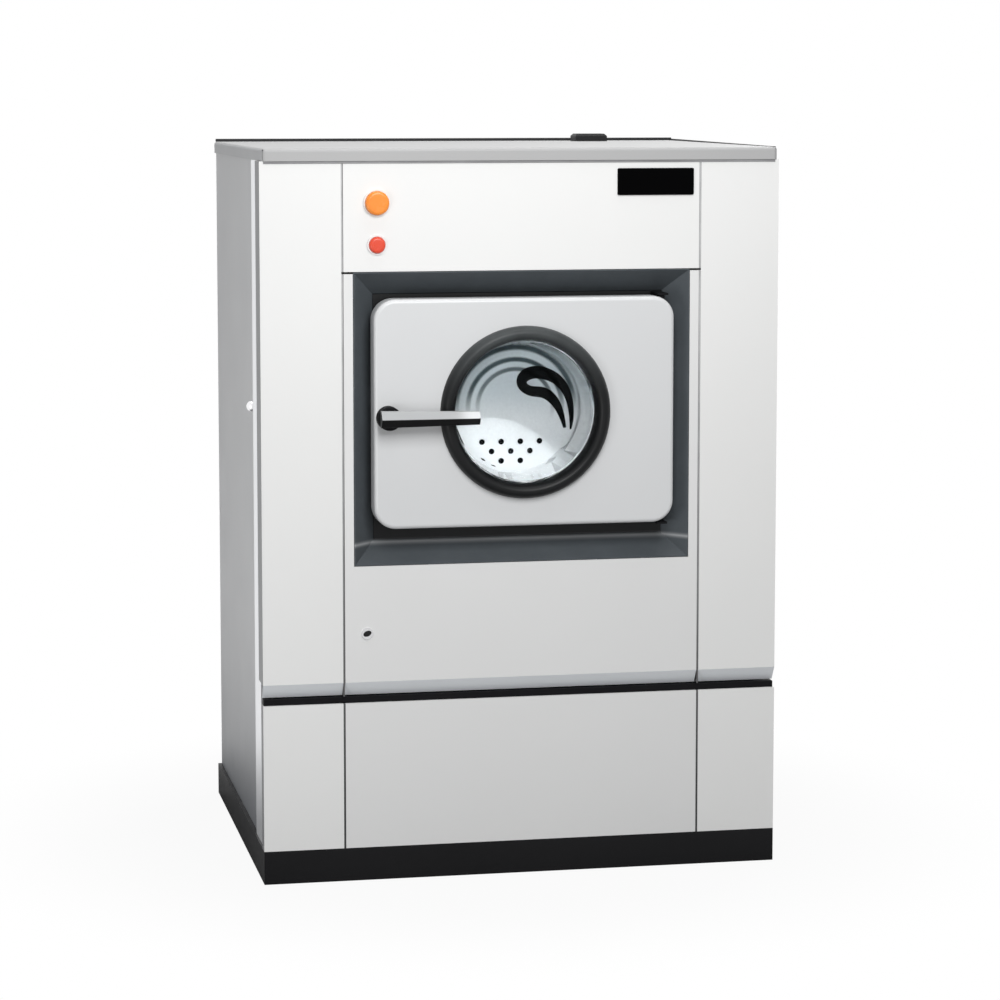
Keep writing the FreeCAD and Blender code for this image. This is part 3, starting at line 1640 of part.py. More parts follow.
heater_stop = tub_front + S.heater_front_gap
heater_rear = housing_front + S.heater_terminal
heaters = new_body("heating_elements", z=axis_height)
heater_profile = sketch_on(heaters, "XZ_Plane", -heater_rear)
disc(S.heater_half_spread, -heater_drop, S.heater_radius)(heater_profile)
heater_spine = sketch_on(heaters, "XY_Plane", -heater_drop)
spread = S.heater_half_spread.number
heater_ends = [
    (Vector(x, heater_rear.number, 0), Vector(x, heater_stop.number, 0)) for x in (spread, -spread)
]
heater_middle = Vector(0, heater_stop.number, 0)
heater_spine.addGeometry(Part.LineSegment(heater_ends[0][0], heater_ends[0][1]))
heater_spine.addGeometry(arc_between(heater_middle, heater_ends[1][1], heater_ends[0][1]))
heater_spine.addGeometry(Part.LineSegment(heater_ends[1][1], heater_ends[1][0]))
heater_spine.addConstraint(Sketcher.Constraint("Coincident", 0, 2, 1, 2))
heater_spine.addConstraint(Sketcher.Constraint("Coincident", 1, 1, 2, 1))
heater_spine.addConstraint(Sketcher.Constraint("Horizontal", 1, 1, 1, 2))
heater_spine.addConstraint(Sketcher.Constraint("Vertical", 2))
heater_spine.addConstraint(Sketcher.Constraint("Horizontal", 0, 1, 2, 2))
place_point(heater_spine, 0, 1, S.heater_half_spread, heater_rear)
place_point(heater_spine, 0, 2, S.heater_half_spread, heater_stop)
place_point(heater_spine, 1, 3, zero, heater_stop)
heater_rod = heaters.newObject("PartDesign::AdditivePipe", "Pipe")
heater_rod.Profile = heater_profile
heater_rod.Spine = heater_spine
repeat_around(heaters, heater_rod, 3, S.heater_step_angle * 2)
turn_body(heaters, -S.heater_step_angle)
keep(heaters)

# Drain: a pipe under the tub, a valve with its actuator, and an outlet through the rear panel.

valve_bottom = S.outlet_height + S.outlet_bend_radius + S.drain_valve_rise
valve_z = (valve_bottom, valve_bottom + S.drain_valve_height)
sump_level = axis_height - chord_height(tub_inner, S.drain_radius)
drain_pipe_z = (valve_z[1], sump_level + S.drain_end_reach)
drain_outside = rod("drain_outside", "Z", zero, drain_middle, drain_pipe_z, S.drain_radius)
drain_inside = rod("drain_inside", "Z", zero, drain_middle, drain_pipe_z, S.drain_radius - S.drain_wall)
drain_pipe = cut("drain_pipe", drain_outside, drain_inside)

actuator_y = (drain_middle - S.drain_actuator_half, drain_middle + S.drain_actuator_half)
actuator_z = (valve_z[0] + S.drain_actuator_inset, valve_z[1] - S.drain_actuator_inset)
valve_shape = fused(
    "drain_valve_shape",
    rod("drain_valve_barrel", "Z", zero, drain_middle, valve_z, S.drain_valve_radius),
    block("drain_actuator", (zero, S.drain_valve_radius + S.drain_actuator_length), actuator_y, actuator_z),
)
valve_bore = rod("drain_valve_bore", "Z", zero, drain_middle, valve_z, S.drain_radius - S.drain_wall)
keep(cut("drain_valve", valve_shape, valve_bore))

drain_outlet = bent_pipe(
    "drain_outlet",
    zero,
    (back + S.outlet_reach, S.outlet_height),
    (drain_middle, S.outlet_height),
    (drain_middle, valve_bottom),
    S.outlet_radius,
    S.drain_wall,
    S.outlet_bend_radius,
)
spigot_y = (back, back + S.outlet_reach)
pad(drain_outlet, "Y", spigot_y[0], spigot_y[1], disc(zero, S.outlet_height, S.spigot_radius))
spigot_bore = disc(zero, S.outlet_height, S.outlet_radius - S.drain_wall)
pocket(drain_outlet, "Y", spigot_y[0], spigot_y[1], spigot_bore)
keep(group("drain_pipes", drain_pipe, drain_outlet))

# Water inlets: two valves behind the rear panel and two pipes to the top of the tub.

valves = []
pipes = []
valve_front = rear_face - S.water_valve_length
inlet_bottom = water_height - S.water_valve_height / 2
for offset in water_offsets:
    shape = fused(
        "water_valve_shape",
        block(
            "water_valve_body",
            (-offset - S.water_valve_half, S.water_valve_half - offset),
            (valve_front, rear_face),
            (inlet_bottom, inlet_bottom + S.water_valve_height),
        ),
        rod("water_neck", "Y", -offset, (rear_face, back), water_height, S.water_neck_radius),
        rod(
            "water_stub", "Y", -offset, (back, back + S.water_stub_reach), water_height,
            S.water_stub_radius,
        ),
    )
    bore = rod(
        "water_stub_bore", "Y", -offset, (rear_face, back + S.water_stub_reach), water_height,
        S.water_stub_bore,
    )
    valves.append(cut("water_valve", shape, bore))
    pipes.append(bent_pipe(
        "water_pipe",
        -offset,
        (valve_front, water_height),
        (water_drop, water_height),
        (water_drop, axis_height + chord_height(tub_inner, offset) - S.pipe_end_reach),
        S.water_pipe_radius,
        S.water_pipe_wall,
        S.water_bend_radius,
    ))
keep(group("water_valves", *valves))
keep(group("water_pipes", *pipes))

# Vent pipe from the rear head to the cap on the top cover.

vent_height = axis_height + S.vent_port_rise
keep(bent_pipe(
    "vent_pipe",
    S.vent_offset,
    (tub_rear - S.vent_end_reach, vent_height),
    (vent_middle, vent_height),
    (vent_middle, S.body_height + S.vent_end_reach),
    S.vent_pipe_radius,
    S.vent_pipe_wall,
    S.vent_bend_radius,
))

# Gland for the mains cable in the rear panel.

gland = new_body("cable_gland", S.gland_offset, gland_height)
gland_front = rear_face - S.gland_nut_length
revolve(gland, [
    (gland_front, S.gland_bore),
    (gland_front, S.gland_nut_radius),
    (rear_face, S.gland_nut_radius),
    (rear_face, S.gland_thread_radius),
    (back, S.gland_thread_radius),
    (back, S.gland_nut_radius),
    (back + S.gland_reach, S.gland_nut_radius),
    (back + S.gland_reach, S.gland_bore),
])
keep(gland)

# Check every object, then write each finished piece to its own file.

doc.recompute()
faults = []
for piece in doc.Objects:
    if "Invalid" in piece.State or "Error" in piece.State:
        faults.append(f"{piece.Name} ({piece.TypeId}): {piece.State}")
for piece in kept:
    if piece.Shape.isNull() or not piece.Shape.isValid():
        faults.append(f"{piece.Name}: no valid shape")
if faults:
    raise RuntimeError("; ".join(faults))

os.makedirs("parts", exist_ok=True)
for piece in kept:
    piece.Shape.exportStep(f"parts/{piece.Label}.step")
    box = piece.Shape.BoundBox
    print(
        f"{piece.Label}: {len(piece.Shape.Solids)} solid(s), {piece.Shape.Volume / 1000:.1f} cm3, "
        f"x {box.XMin:.1f}..{box.XMax:.1f}, "
        f"y {box.YMin:.1f}..{box.YMax:.1f}, z {box.ZMin:.1f}..{box.ZMax:.1f}"
    )
print(f"{len(kept)} pieces")
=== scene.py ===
# %% [markdown]
# # An industrial washing machine, dressed from its frame
# The imported frame holds every solid of the machine in metres: the front faces -Y, +X is right
# as you stand before it, and the floor is z = 0. This lesson leaves those solids where they are,
# gives each one a finish made of nodes, and adds the small things that a solid model leaves out.

import math
from functools import partial

import bmesh
import bpy
from mathutils import Matrix, Vector


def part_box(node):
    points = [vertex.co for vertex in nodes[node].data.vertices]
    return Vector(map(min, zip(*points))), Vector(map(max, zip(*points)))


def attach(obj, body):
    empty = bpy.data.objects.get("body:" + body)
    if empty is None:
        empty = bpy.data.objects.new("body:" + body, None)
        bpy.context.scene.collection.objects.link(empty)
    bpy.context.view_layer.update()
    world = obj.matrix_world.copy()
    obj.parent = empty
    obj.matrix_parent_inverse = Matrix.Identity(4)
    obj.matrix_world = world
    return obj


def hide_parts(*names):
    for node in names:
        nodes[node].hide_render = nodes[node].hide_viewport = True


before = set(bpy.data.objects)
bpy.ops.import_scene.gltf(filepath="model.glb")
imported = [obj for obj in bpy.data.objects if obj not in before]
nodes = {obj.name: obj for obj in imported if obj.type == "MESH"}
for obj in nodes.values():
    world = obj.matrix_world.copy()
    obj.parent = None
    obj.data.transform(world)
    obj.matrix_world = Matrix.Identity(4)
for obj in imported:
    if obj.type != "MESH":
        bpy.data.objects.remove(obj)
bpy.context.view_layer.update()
link_to_scene = bpy.context.scene.collection.objects.link

# %% [markdown]
# ## The camera
# The photograph was taken from well in front, a little left of the machine and above its middle.
# The side closes up quickly, so the lens is long. The upright edges stay nearly upright, which a
# camera that is tipped down cannot do: the lens is shifted down a little instead. The place was
# found from the corners of the cabinet and the edges of the panels.

# %% Camera
camera_data = bpy.data.cameras.new("portrait_lens")
camera_data.lens = 112.6
camera_data.shift_y = -0.08
camera_data.clip_end = 60.0
camera = bpy.data.objects.new("portrait_camera", camera_data)
camera.location = (-1.228, -6.309, 1.531)
camera.rotation_euler = (math.radians(90.0 - 6.031), 0.0, math.radians(-11.335))
link_to_scene(camera)
bpy.context.scene.camera = camera
bpy.context.scene.view_settings.view_transform = "Standard"
print("camera at", tuple(camera.location))

# %% [markdown]
# ## Wiring nodes by name
# Shader trees and geometry trees are built alike: a node is added, its options are set, and each
# input gets a value or a wire. One helper does all three, so that a tree reads like a parts list.

# %% Node helper
def add(tree, kind, inputs=None, **options):
    """Adds a node, sets its options, and fills each input with a value or a wire."""
    node = tree.nodes.new(kind)
    for name, value in options.items():
        setattr(node, name, value)
    for name, value in (inputs or {}).items():
        if isinstance(value, bpy.types.NodeSocket):
            tree.links.new(value, node.inputs[name])
        else:
            node.inputs[name].default_value = value
    return node


def math_node(tree, operation, first, second=0.0, clamp=False):
    """One sum on two values; either may be a wire."""
    node = add(tree, "ShaderNodeMath", {0: first, 1: second}, operation=operation)
    node.use_clamp = clamp
    return node.outputs[0]


def ramp_between(tree, value, low, high):
    """A soft step: 0 below low, 1 above high."""
    node = add(tree, "ShaderNodeMapRange", {"Value": value, "From Min": low, "From Max": high})
    node.interpolation_type = "SMOOTHSTEP"
    return node.outputs["Result"]


def mix_colour(tree, factor, first, second):
    """A blend of two colours; each input may be a wire."""
    colours = [c if isinstance(c, bpy.types.NodeSocket) else (*c, 1.0) for c in (first, second)]
    node = add(tree, "ShaderNodeMix", {0: factor, 6: colours[0], 7: colours[1]}, data_type="RGBA")
    return node.outputs[2]


def new_material(name):
    """A material and its empty tree."""
    material = bpy.data.materials.new(name)
    material.use_nodes = True
    material.node_tree.nodes.clear()
    return material, material.node_tree


# %% [markdown]
# ## The studio
# The machine stands on a plain white floor that runs out into a white background. The floor
# takes a soft shadow, and its edge fades into the white of the world, so no horizon shows.
# Camera, mirror and glass rays see white, but close to the machine a mirror sees the grey floor itself.
# The light that falls on the machine is a lower, even level.

# %% Floor and world
def studio_floor(radius):
    mesh = bpy.data.meshes.new("studio_floor")
    shape = bmesh.new()
    bmesh.ops.create_circle(shape, cap_ends=True, radius=radius, segments=96)
    bmesh.ops.translate(shape, verts=shape.verts, vec=(0.0, 0.0, -0.0006))
    shape.to_mesh(mesh)
    shape.free()
    floor = bpy.data.objects.new("studio_floor", mesh)
    link_to_scene(floor)
    material, tree = new_material("floor_white")
    place = add(tree, "ShaderNodeTexCoord").outputs["Object"]
    distance = add(tree, "ShaderNodeVectorMath", {0: place}, operation="LENGTH").outputs["Value"]
    far = ramp_between(tree, distance, 0.6, 1.2)
    rays = add(tree, "ShaderNodeLightPath").outputs
    mirrored = math_node(tree, "MULTIPLY", rays["Is Glossy Ray"], far)
    seen = math_node(tree, "ADD", rays["Is Camera Ray"], rays["Is Transmission Ray"])
    seen = math_node(tree, "ADD", seen, mirrored, clamp=True)
    glow = add(tree, "ShaderNodeEmission", {"Color": (1, 1, 1, 1), "Strength": seen})
    matt = add(tree, "ShaderNodeBsdfDiffuse", {"Color": (0.36, 0.36, 0.36, 1)})
    share = math_node(tree, "ADD", math_node(tree, "MULTIPLY", far, 0.06), 0.94)
    share = math_node(tree, "MULTIPLY", share, seen)
    mixed = add(tree, "ShaderNodeMixShader", {0: share, 1: matt.outputs[0], 2: glow.outputs[0]})
    add(tree, "ShaderNodeOutputMaterial", {"Surface": mixed.outputs[0]})
    mesh.materials.append(material)


def studio_world(level, tint):
    world = bpy.data.worlds.new("studio_world")
    bpy.context.scene.world = world
    world.use_nodes = True
    tree = world.node_tree
    tree.nodes.clear()
    rays = add(tree, "ShaderNodeLightPath").outputs
    seen = math_node(tree, "ADD", rays["Is Camera Ray"], rays["Is Glossy Ray"])
    seen = math_node(tree, "ADD", seen, rays["Is Transmission Ray"], clamp=True)
    soft = add(tree, "ShaderNodeBackground", {"Color": (*tint, 1.0), "Strength": level})
    white = add(tree, "ShaderNodeBackground", {"Color": (1, 1, 1, 1), "Strength": 1.0})
    mixed = add(tree, "ShaderNodeMixShader", {0: seen, 1: soft.outputs[0], 2: white.outputs[0]})
    add(tree, "ShaderNodeOutputWorld", {"Surface": mixed.outputs[0]})


studio_floor(14.0)
studio_world(0.225, (0.96, 0.98, 1.0))
print("floor and world are white to the camera")

# %% [markdown]
# ## Soft lamps
# In the photograph the upper panels are nearly white and the kick panels a good deal greyer, the
# left side lies in half shade, and the lower back of the drum is bright through the glass. One soft
# lamp in front, above the top cover and not far off, does most of this: its light falls away towards
# the floor. A weak lamp low on the left lifts the foot of the front on that side, a lamp overhead
# lights the top cover, and one behind the rear right corner lights the rear and the right side. Two
# narrow spots shine through the porthole onto the back of the drum and touch nothing else: a sharp
# one from above makes its lower half white, a weak one from the viewer's side lifts the rest.

# %% Lamps
PORTHOLE = (0.0, -0.445, 0.912)


def hang(light, place, target, power):
    """Puts a lamp at a place and aims it."""
    light.energy = power
    lamp = bpy.data.objects.new(light.name, light)
    lamp.location = place
    aim = Vector(target) - Vector(place)
    lamp.rotation_euler = aim.to_track_quat("-Z", "Y").to_euler()
    link_to_scene(lamp)


def soft_lamp(name, place, target, size, power):
    light = bpy.data.lights.new(name, "AREA")
    light.shape = "SQUARE"
    light.size = size
    hang(light, place, target, power)


def porthole_spot(name, place, angle, blend, power):
    light = bpy.data.lights.new(name, "SPOT")
    light.spot_size = math.radians(angle)
    light.spot_blend = blend
    light.shadow_soft_size = 0.015
    hang(light, place, PORTHOLE, power)


soft_lamp("key_lamp", (-0.06, -2.3, 2.15), (0.0, -0.4, 1.25), 1.2, 36.0)
soft_lamp("fill_lamp", (-1.9, -2.2, 0.6), (-0.5, -0.4, 0.4), 0.8, 11.5)
soft_lamp("top_lamp", (0.2, -0.2, 4.2), (0.0, 0.0, 1.4), 2.4, 57.0)
soft_lamp("back_lamp", (2.2, 2.4, 3.0), (0.2, 0.2, 0.8), 1.2, 60.0)
porthole_spot("porthole_spot", (-0.22, -3.2, 2.03), 5.2, 0.08, 180.0)
porthole_spot("porthole_fill", (-0.73, -3.9, 1.28), 4.2, 0.3, 160.0)

# %% [markdown]
# ## Effects that several finishes share
# Four small groups carry what the surfaces have in common. Sprayed paint shows a faint
# orange peel and drifts a little in tone over a large panel. Moulded plastic and rubber have a
# fine pebbled grain. Rolled and turned metal has streaks along its working direction. And an edge
# at one height above the floor is made pale: in patches it is rubbing wear, and as an even band it
# is a painted highlight. Each group reads Object coordinates in metres, so a grain of half a
# millimetre has that size on every piece.

# %% Group helper
def new_group(name, inputs, outputs):
    """An empty shader group with typed, named sockets."""
    group = bpy.data.node_groups.new(name, "ShaderNodeTree")
    kinds = {"colour": "NodeSocketColor", "value": "NodeSocketFloat", "vector": "NodeSocketVector"}
    for socket, kind, start in inputs:
        made = group.interface.new_socket(socket, in_out="INPUT", socket_type=kinds[kind])
        made.default_value = start
    for socket, kind in outputs:
        group.interface.new_socket(socket, in_out="OUTPUT", socket_type=kinds[kind])
    return group, group.nodes.new("NodeGroupInput").outputs, group.nodes.new("NodeGroupOutput").inputs


SKIN_OUTPUTS = (("Colour", "colour"), ("Roughness", "value"), ("Height", "value"))


def noise(tree, place, scale, detail=2.0, roughness=0.5):
    """Value of a noise of so many waves per metre."""
    node = add(tree, "ShaderNodeTexNoise", {
        "Vector": place, "Scale": scale, "Detail": detail, "Roughness": roughness,
    })
    return node.outputs["Fac"]


def drifted(group, colour, value, drift):
    """A colour made darker or lighter by the drift as the value runs from 0.3 to 0.7."""
    share = add(group, "ShaderNodeMapRange", {
        "Value": value, "From Min": 0.3, "From Max": 0.7,
        "To Min": math_node(group, "SUBTRACT", 1.0, drift),
        "To Max": math_node(group, "ADD", 1.0, drift),
    }).outputs["Result"]
    scaled = add(group, "ShaderNodeVectorMath", {0: colour, "Scale": share}, operation="SCALE")
    return scaled.outputs["Vector"]


def varied(group, gloss, value, amount):
    """A roughness that grows with the value."""
    return math_node(group, "ADD", gloss, math_node(group, "MULTIPLY", value, amount))


def hand_out(group, result, wires):
    """Wires the outputs of a group, in their order."""
    for socket, wire in zip(result, wires):
        group.links.new(wire, socket)
    print("group:", group.name)


# %% Sprayed paint
paint_film, given, result = new_group(
    "paint_film",
    (("Paint", "colour", (0.8, 0.8, 0.8, 1)), ("Drift", "value", 0.03), ("Gloss", "value", 0.3),
     ("Peel", "value", 320.0)),
    SKIN_OUTPUTS,
)
place = add(paint_film, "ShaderNodeTexCoord").outputs["Object"]
cloud = noise(paint_film, place, 1.7, 3.0)
colour = drifted(paint_film, given["Paint"], cloud, given["Drift"])
smear = noise(paint_film, place, 9.0, 4.0, 0.6)
gloss = varied(paint_film, given["Gloss"], smear, 0.12)
peel = noise(paint_film, place, given["Peel"], 2.0)
hand_out(paint_film, result, (colour, gloss, peel))

# %% Moulded grain
moulded_grain, given, result = new_group(
    "moulded_grain",
    (("Resin", "colour", (0.03, 0.03, 0.03, 1)), ("Drift", "value", 0.12), ("Gloss", "value", 0.4),
     ("Grain", "value", 900.0)),
    SKIN_OUTPUTS,
)
place = add(moulded_grain, "ShaderNodeTexCoord").outputs["Object"]
flow = noise(moulded_grain, place, 14.0, 4.0, 0.6)
colour = drifted(moulded_grain, given["Resin"], flow, given["Drift"])
rubbed = noise(moulded_grain, place, 32.0, 3.0, 0.55)
gloss = varied(moulded_grain, given["Gloss"], rubbed, 0.16)
pebbles = add(moulded_grain, "ShaderNodeTexVoronoi", {"Vector": place, "Scale": given["Grain"]})
hand_out(moulded_grain, result, (colour, gloss, pebbles.outputs["Distance"]))

# %% Worked metal
worked_metal, given, result = new_group(
    "worked_metal",
    (("Metal", "colour", (0.6, 0.6, 0.6, 1)), ("Stretch", "vector", (20.0, 600.0, 600.0)),
     ("Drift", "value", 0.08), ("Gloss", "value", 0.25)),
    SKIN_OUTPUTS,
)
place = add(worked_metal, "ShaderNodeTexCoord").outputs["Object"]
drawn = add(worked_metal, "ShaderNodeMapping", {"Vector": place, "Scale": given["Stretch"]})
streak = noise(worked_metal, drawn.outputs["Vector"], 1.0, 3.0, 0.6)
colour = drifted(worked_metal, given["Metal"], streak, given["Drift"])
stain = noise(worked_metal, place, 11.0, 4.0, 0.6)
gloss = varied(worked_metal, given["Gloss"], stain, 0.14)
hand_out(worked_metal, result, (colour, gloss, streak))

# %% Rubbed edges and painted highlights at one height
level_wear, given, result = new_group(
    "level_wear",
    (("Level", "value", 0.0), ("Reach", "value", 0.2), ("Amount", "value", 0.3), ("Evenness", "value", 0.0)),
    (("Mask", "value"),),
)
sums = partial(math_node, level_wear)
place = add(level_wear, "ShaderNodeTexCoord").outputs["Object"]
height = add(level_wear, "ShaderNodeSeparateXYZ", {0: place}).outputs["Z"]
gap = sums("ABSOLUTE", sums("SUBTRACT", height, given["Level"]))
gap = sums("DIVIDE", gap, given["Reach"])
near = sums("SUBTRACT", 1.0, gap, clamp=True)
near = sums("MULTIPLY", near, near)
patches = ramp_between(level_wear, noise(level_wear, place, 38.0, 5.0, 0.65), 0.42, 0.66)
patches = sums("MAXIMUM", patches, given["Evenness"])
mask = sums("MULTIPLY", near, patches)
mask = sums("MULTIPLY", mask, given["Amount"], clamp=True)
hand_out(level_wear, result, (mask,))

# %% [markdown]
# ## A finish from a group
# Every opaque finish is one Principled shader that takes colour, roughness and bump from one of
# the groups. What is the same all over, such as metallic or coat, sits on the shader's own sockets.
# Some finishes change colour by which way a face looks, and so paint light and shade: a panel's
# bevel that looks down is painted paler, its side returns grey, the ends of the top cover paler,
# and the lever silver above its ridge as a painted highlight and black below. That uses the normal
# in the piece's own space, so it stays right when the piece turns.

# %% Finish helper
def skin(
    name, group, values, bump=0.15, metallic=0.0, specular=0.5, coat=0.0, facing=(), fade=None, wear=(),
):
    """One Principled finish.

    facing holds (axis, low, high, colour) for faces that look one way, fade is (axis, low, high,
    colour) for a colour that gives way along an axis, wear holds (level, reach, amount, evenness,
    colour).
    """
    material, tree = new_material(name)
    film = add(tree, "ShaderNodeGroup", node_tree=group)
    for socket, value in values.items():
        is_colour = film.inputs[socket].type == "RGBA"
        film.inputs[socket].default_value = (*value, 1.0) if is_colour else value
    colour = film.outputs["Colour"]
    for axis, low, high, other in facing:
        normal = add(tree, "ShaderNodeTexCoord").outputs["Normal"]
        part = add(tree, "ShaderNodeSeparateXYZ", {0: normal}).outputs[axis]
        colour = mix_colour(tree, ramp_between(tree, part, low, high), colour, other)
    if fade:
        axis, low, high, other = fade
        place = add(tree, "ShaderNodeTexCoord").outputs["Object"]
        along = add(tree, "ShaderNodeSeparateXYZ", {0: place}).outputs[axis]
        colour = mix_colour(tree, ramp_between(tree, along, low, high), other, colour)
    for level, reach, amount, evenness, other in wear:
        level_mark = add(tree, "ShaderNodeGroup", {
            "Level": level, "Reach": reach, "Amount": amount, "Evenness": evenness,
        }, node_tree=level_wear)
        colour = mix_colour(tree, level_mark.outputs["Mask"], colour, other)
    relief = add(tree, "ShaderNodeBump", {
        "Height": film.outputs["Height"], "Strength": bump, "Distance": 0.0004,
    })
    shader = add(tree, "ShaderNodeBsdfPrincipled", {
        "Base Color": colour, "Roughness": film.outputs["Roughness"], "Normal": relief.outputs["Normal"],
        "Metallic": metallic, "Specular IOR Level": specular, "Coat Weight": coat, "Coat Roughness": 0.1,
    })
    add(tree, "ShaderNodeOutputMaterial", {"Surface": shader.outputs[0]})
    return material


def paint(name, colour, drift, gloss, peel, **rest):
    """A sprayed finish; peel is in waves per metre."""
    values = {"Paint": colour, "Drift": drift, "Gloss": gloss, "Peel": peel}
    return skin(name, paint_film, values, **rest)


def plastic(name, colour, drift, gloss, grain, **rest):
    """A moulded finish, also for rubber and castings; grain is in pebbles per metre."""
    values = {"Resin": colour, "Drift": drift, "Gloss": gloss, "Grain": grain}
    return skin(name, moulded_grain, values, **rest)


def metal(name, colour, stretch, drift, gloss, **rest):
    """A rolled or turned finish; stretch is in streaks per metre along each axis."""
    values = {"Metal": colour, "Stretch": stretch, "Drift": drift, "Gloss": gloss}
    return skin(name, worked_metal, values, **rest)


def dress(material, *names):
    """Puts one material on carried-over nodes."""
    for name in names:
        slots = nodes[name].data.materials
        slots.clear()
        slots.append(material)
    print(material.name, "on", ", ".join(names))


# %% [markdown]
# ## Painted sheets
# The front sheets are sprayed a clean, slightly warm white, the two middle sheets a touch greyer, the
# door a shade cooler, and the other panels and the top cover a light grey. The bevel above the dark
# recess looks down and is painted paler and bluer than the sheet, a painted light; the returns at the
# corners look sideways and are painted grey, a painted shade. The sides are painted darker towards
# the floor, also painted shade, and the ends of the top cover are painted paler than its top, painted
# light. The corner trims are bright satin metal.

# %% Paint on the cabinet
# Painted light: a face that looks down is painted paler and bluer, and a face that looks sideways is painted
# grey, a painted shade.
BEVEL_PAINTED_LIGHT = (0.92, 0.95, 0.98)
SHADED = (0.34, 0.345, 0.355)
FACING_PAINTED_LIGHT = (("Z", -0.2, -0.45, BEVEL_PAINTED_LIGHT), ("X", -0.5, -0.9, SHADED), ("X", 0.5, 0.9, SHADED))
front_white = paint(
    "front_white", (0.86, 0.86, 0.85), drift=0.012, gloss=0.42, peel=340.0,
    bump=0.08, specular=0.4, facing=FACING_PAINTED_LIGHT,
)
middle_white = paint(
    "middle_white", (0.805, 0.805, 0.80), drift=0.012, gloss=0.42, peel=340.0,
    bump=0.08, specular=0.4, facing=FACING_PAINTED_LIGHT,
)
door_white = paint(
    "door_white", (0.70, 0.708, 0.715), drift=0.02, gloss=0.3, peel=300.0, bump=0.08, coat=0.15,
)
# The sides are painted darker towards the floor: painted shade.
side_grey = paint(
    "side_grey", (0.71, 0.715, 0.725), drift=0.03, gloss=0.34, peel=300.0,
    bump=0.1, specular=0.35, fade=("Z", 0.0, 0.48, (0.19, 0.20, 0.22)),
)
rear_grey = paint(
    "rear_grey", (0.66, 0.665, 0.675), drift=0.04, gloss=0.38, peel=300.0, bump=0.1, specular=0.3,
)
trim_bright = metal(
    "trim_bright", (0.82, 0.83, 0.85), stretch=(500.0, 500.0, 12.0), drift=0.05, gloss=0.3,
    bump=0.05, metallic=0.85,
)
# The ends of the top cover, which look sideways, are painted paler than its top and front: painted light.
cover_grey = paint(
    "cover_grey", (0.43, 0.43, 0.43), drift=0.02, gloss=0.4, peel=300.0, bump=0.1, specular=0.4,
    facing=(("X", -0.5, -0.9, (0.60, 0.605, 0.615)), ("X", 0.5, 0.9, (0.60, 0.605, 0.615))),
)
dress(front_white, "control_fascia", "left_front_column", "right_front_column")
dress(front_white, "kick_panel_left", "kick_panel_right", "button_bezels")
dress(middle_white, "service_panel", "kick_panel_centre")
dress(door_white, "door_shell")
dress(side_grey, "left_side_panel", "right_side_panel")
dress(rear_grey, "rear_panel")
dress(trim_bright, "corner_trims")
dress(cover_grey, "top_cover")

# %% [markdown]
# ## Dark plastics, rubber and black paint
# The surround is a moulded blue-grey frame with a satin skin. Its back wall behind the door is
# painted black, a painted shade, and an even pale band along its sill is a painted highlight. The
# porthole ring, the handle boss and the vent cap are black plastic; the ring is painted grey at its
# top and black below, painted light from above. The recess strip and the door hinge pins are
# near-black, a painted shade. The belt and the seals are soft rubber, and the plinth is thick black
# enamel that is rubbed along its upper edge. Black plastic mirrors little, so its specular level is
# low: with a white room around it, a full one would turn every black into grey.

# %% Dark finishes
surround_low, surround_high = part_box("door_surround")
surround_floor = surround_high[1] - 0.003
sill_height = surround_low[2] + 0.040
# The back wall behind the door is painted black, a painted shade; the even pale band at the sill is a painted
# highlight.
surround_grey = plastic(
    "surround_grey", (0.080, 0.091, 0.100), drift=0.08, gloss=0.34, grain=1100.0,
    bump=0.12, specular=0.2,
    fade=("Y", surround_floor, surround_floor - 0.003, (0.004, 0.0045, 0.005)),
    wear=((sill_height, 0.008, 0.9, 1.0, (0.42, 0.43, 0.44)),),
)
# The ring is painted grey towards its top and black below: painted light from above.
ring_black = plastic(
    "ring_black", (0.060, 0.066, 0.068), drift=0.2, gloss=0.3, grain=1200.0,
    bump=0.1, specular=0.18, fade=("Z", 0.93, 1.10, (0.005, 0.0055, 0.006)),
)
plastic_black = plastic(
    "plastic_black", (0.014, 0.014, 0.015), drift=0.2, gloss=0.36, grain=900.0,
    bump=0.3, specular=0.15,
)
recess_black = plastic(
    "recess_black", (0.005, 0.005, 0.006), drift=0.2, gloss=0.55, grain=900.0,
    bump=0.2, specular=0.1,
)
rubber_black = plastic(
    "rubber_black", (0.02, 0.02, 0.021), drift=0.25, gloss=0.55, grain=1400.0,
    bump=0.35, specular=0.25,
)
# A grey for the strip under the top cover: painted shade.
seal_grey = plastic(
    "seal_grey", (0.30, 0.30, 0.305), drift=0.15, gloss=0.5, grain=1400.0, bump=0.2, specular=0.2,
)
# Paler above and darker towards the floor: a painted fall of light, painted shade below.
gap_grey = plastic(
    "gap_grey", (0.52, 0.52, 0.525), drift=0.15, gloss=0.5, grain=1400.0, bump=0.2, specular=0.2,
    fade=("Z", 0.1, 1.2, (0.06, 0.06, 0.062)),
)
plinth_enamel = paint(
    "plinth_enamel", (0.012, 0.012, 0.013), drift=0.12, gloss=0.34, peel=240.0, bump=0.2, specular=0.12,
    wear=((0.065, 0.006, 0.25, 0.0, (0.07, 0.07, 0.07)),),
)
display_black = plastic(
    "display_black", (0.0008, 0.0008, 0.001), drift=0.1, gloss=0.05, grain=1200.0,
    bump=0.0, specular=0.02,
)
dress(surround_grey, "door_surround", "door_hinge_blocks")
dress(ring_black, "door_ring")
dress(plastic_black, "vent_cap", "drain_valve", "cable_gland")
dress(plastic_black, "service_hinge_pintles")
# The recess strip and the door hinge pins are near-black: painted shade.
dress(recess_black, "recess_strip", "handle_boss", "door_hinge_pintles")
dress(rubber_black, "shaft_seal", "drive_belt")
dress(plinth_enamel, "base_plinth")
dress(display_black, "display_window")
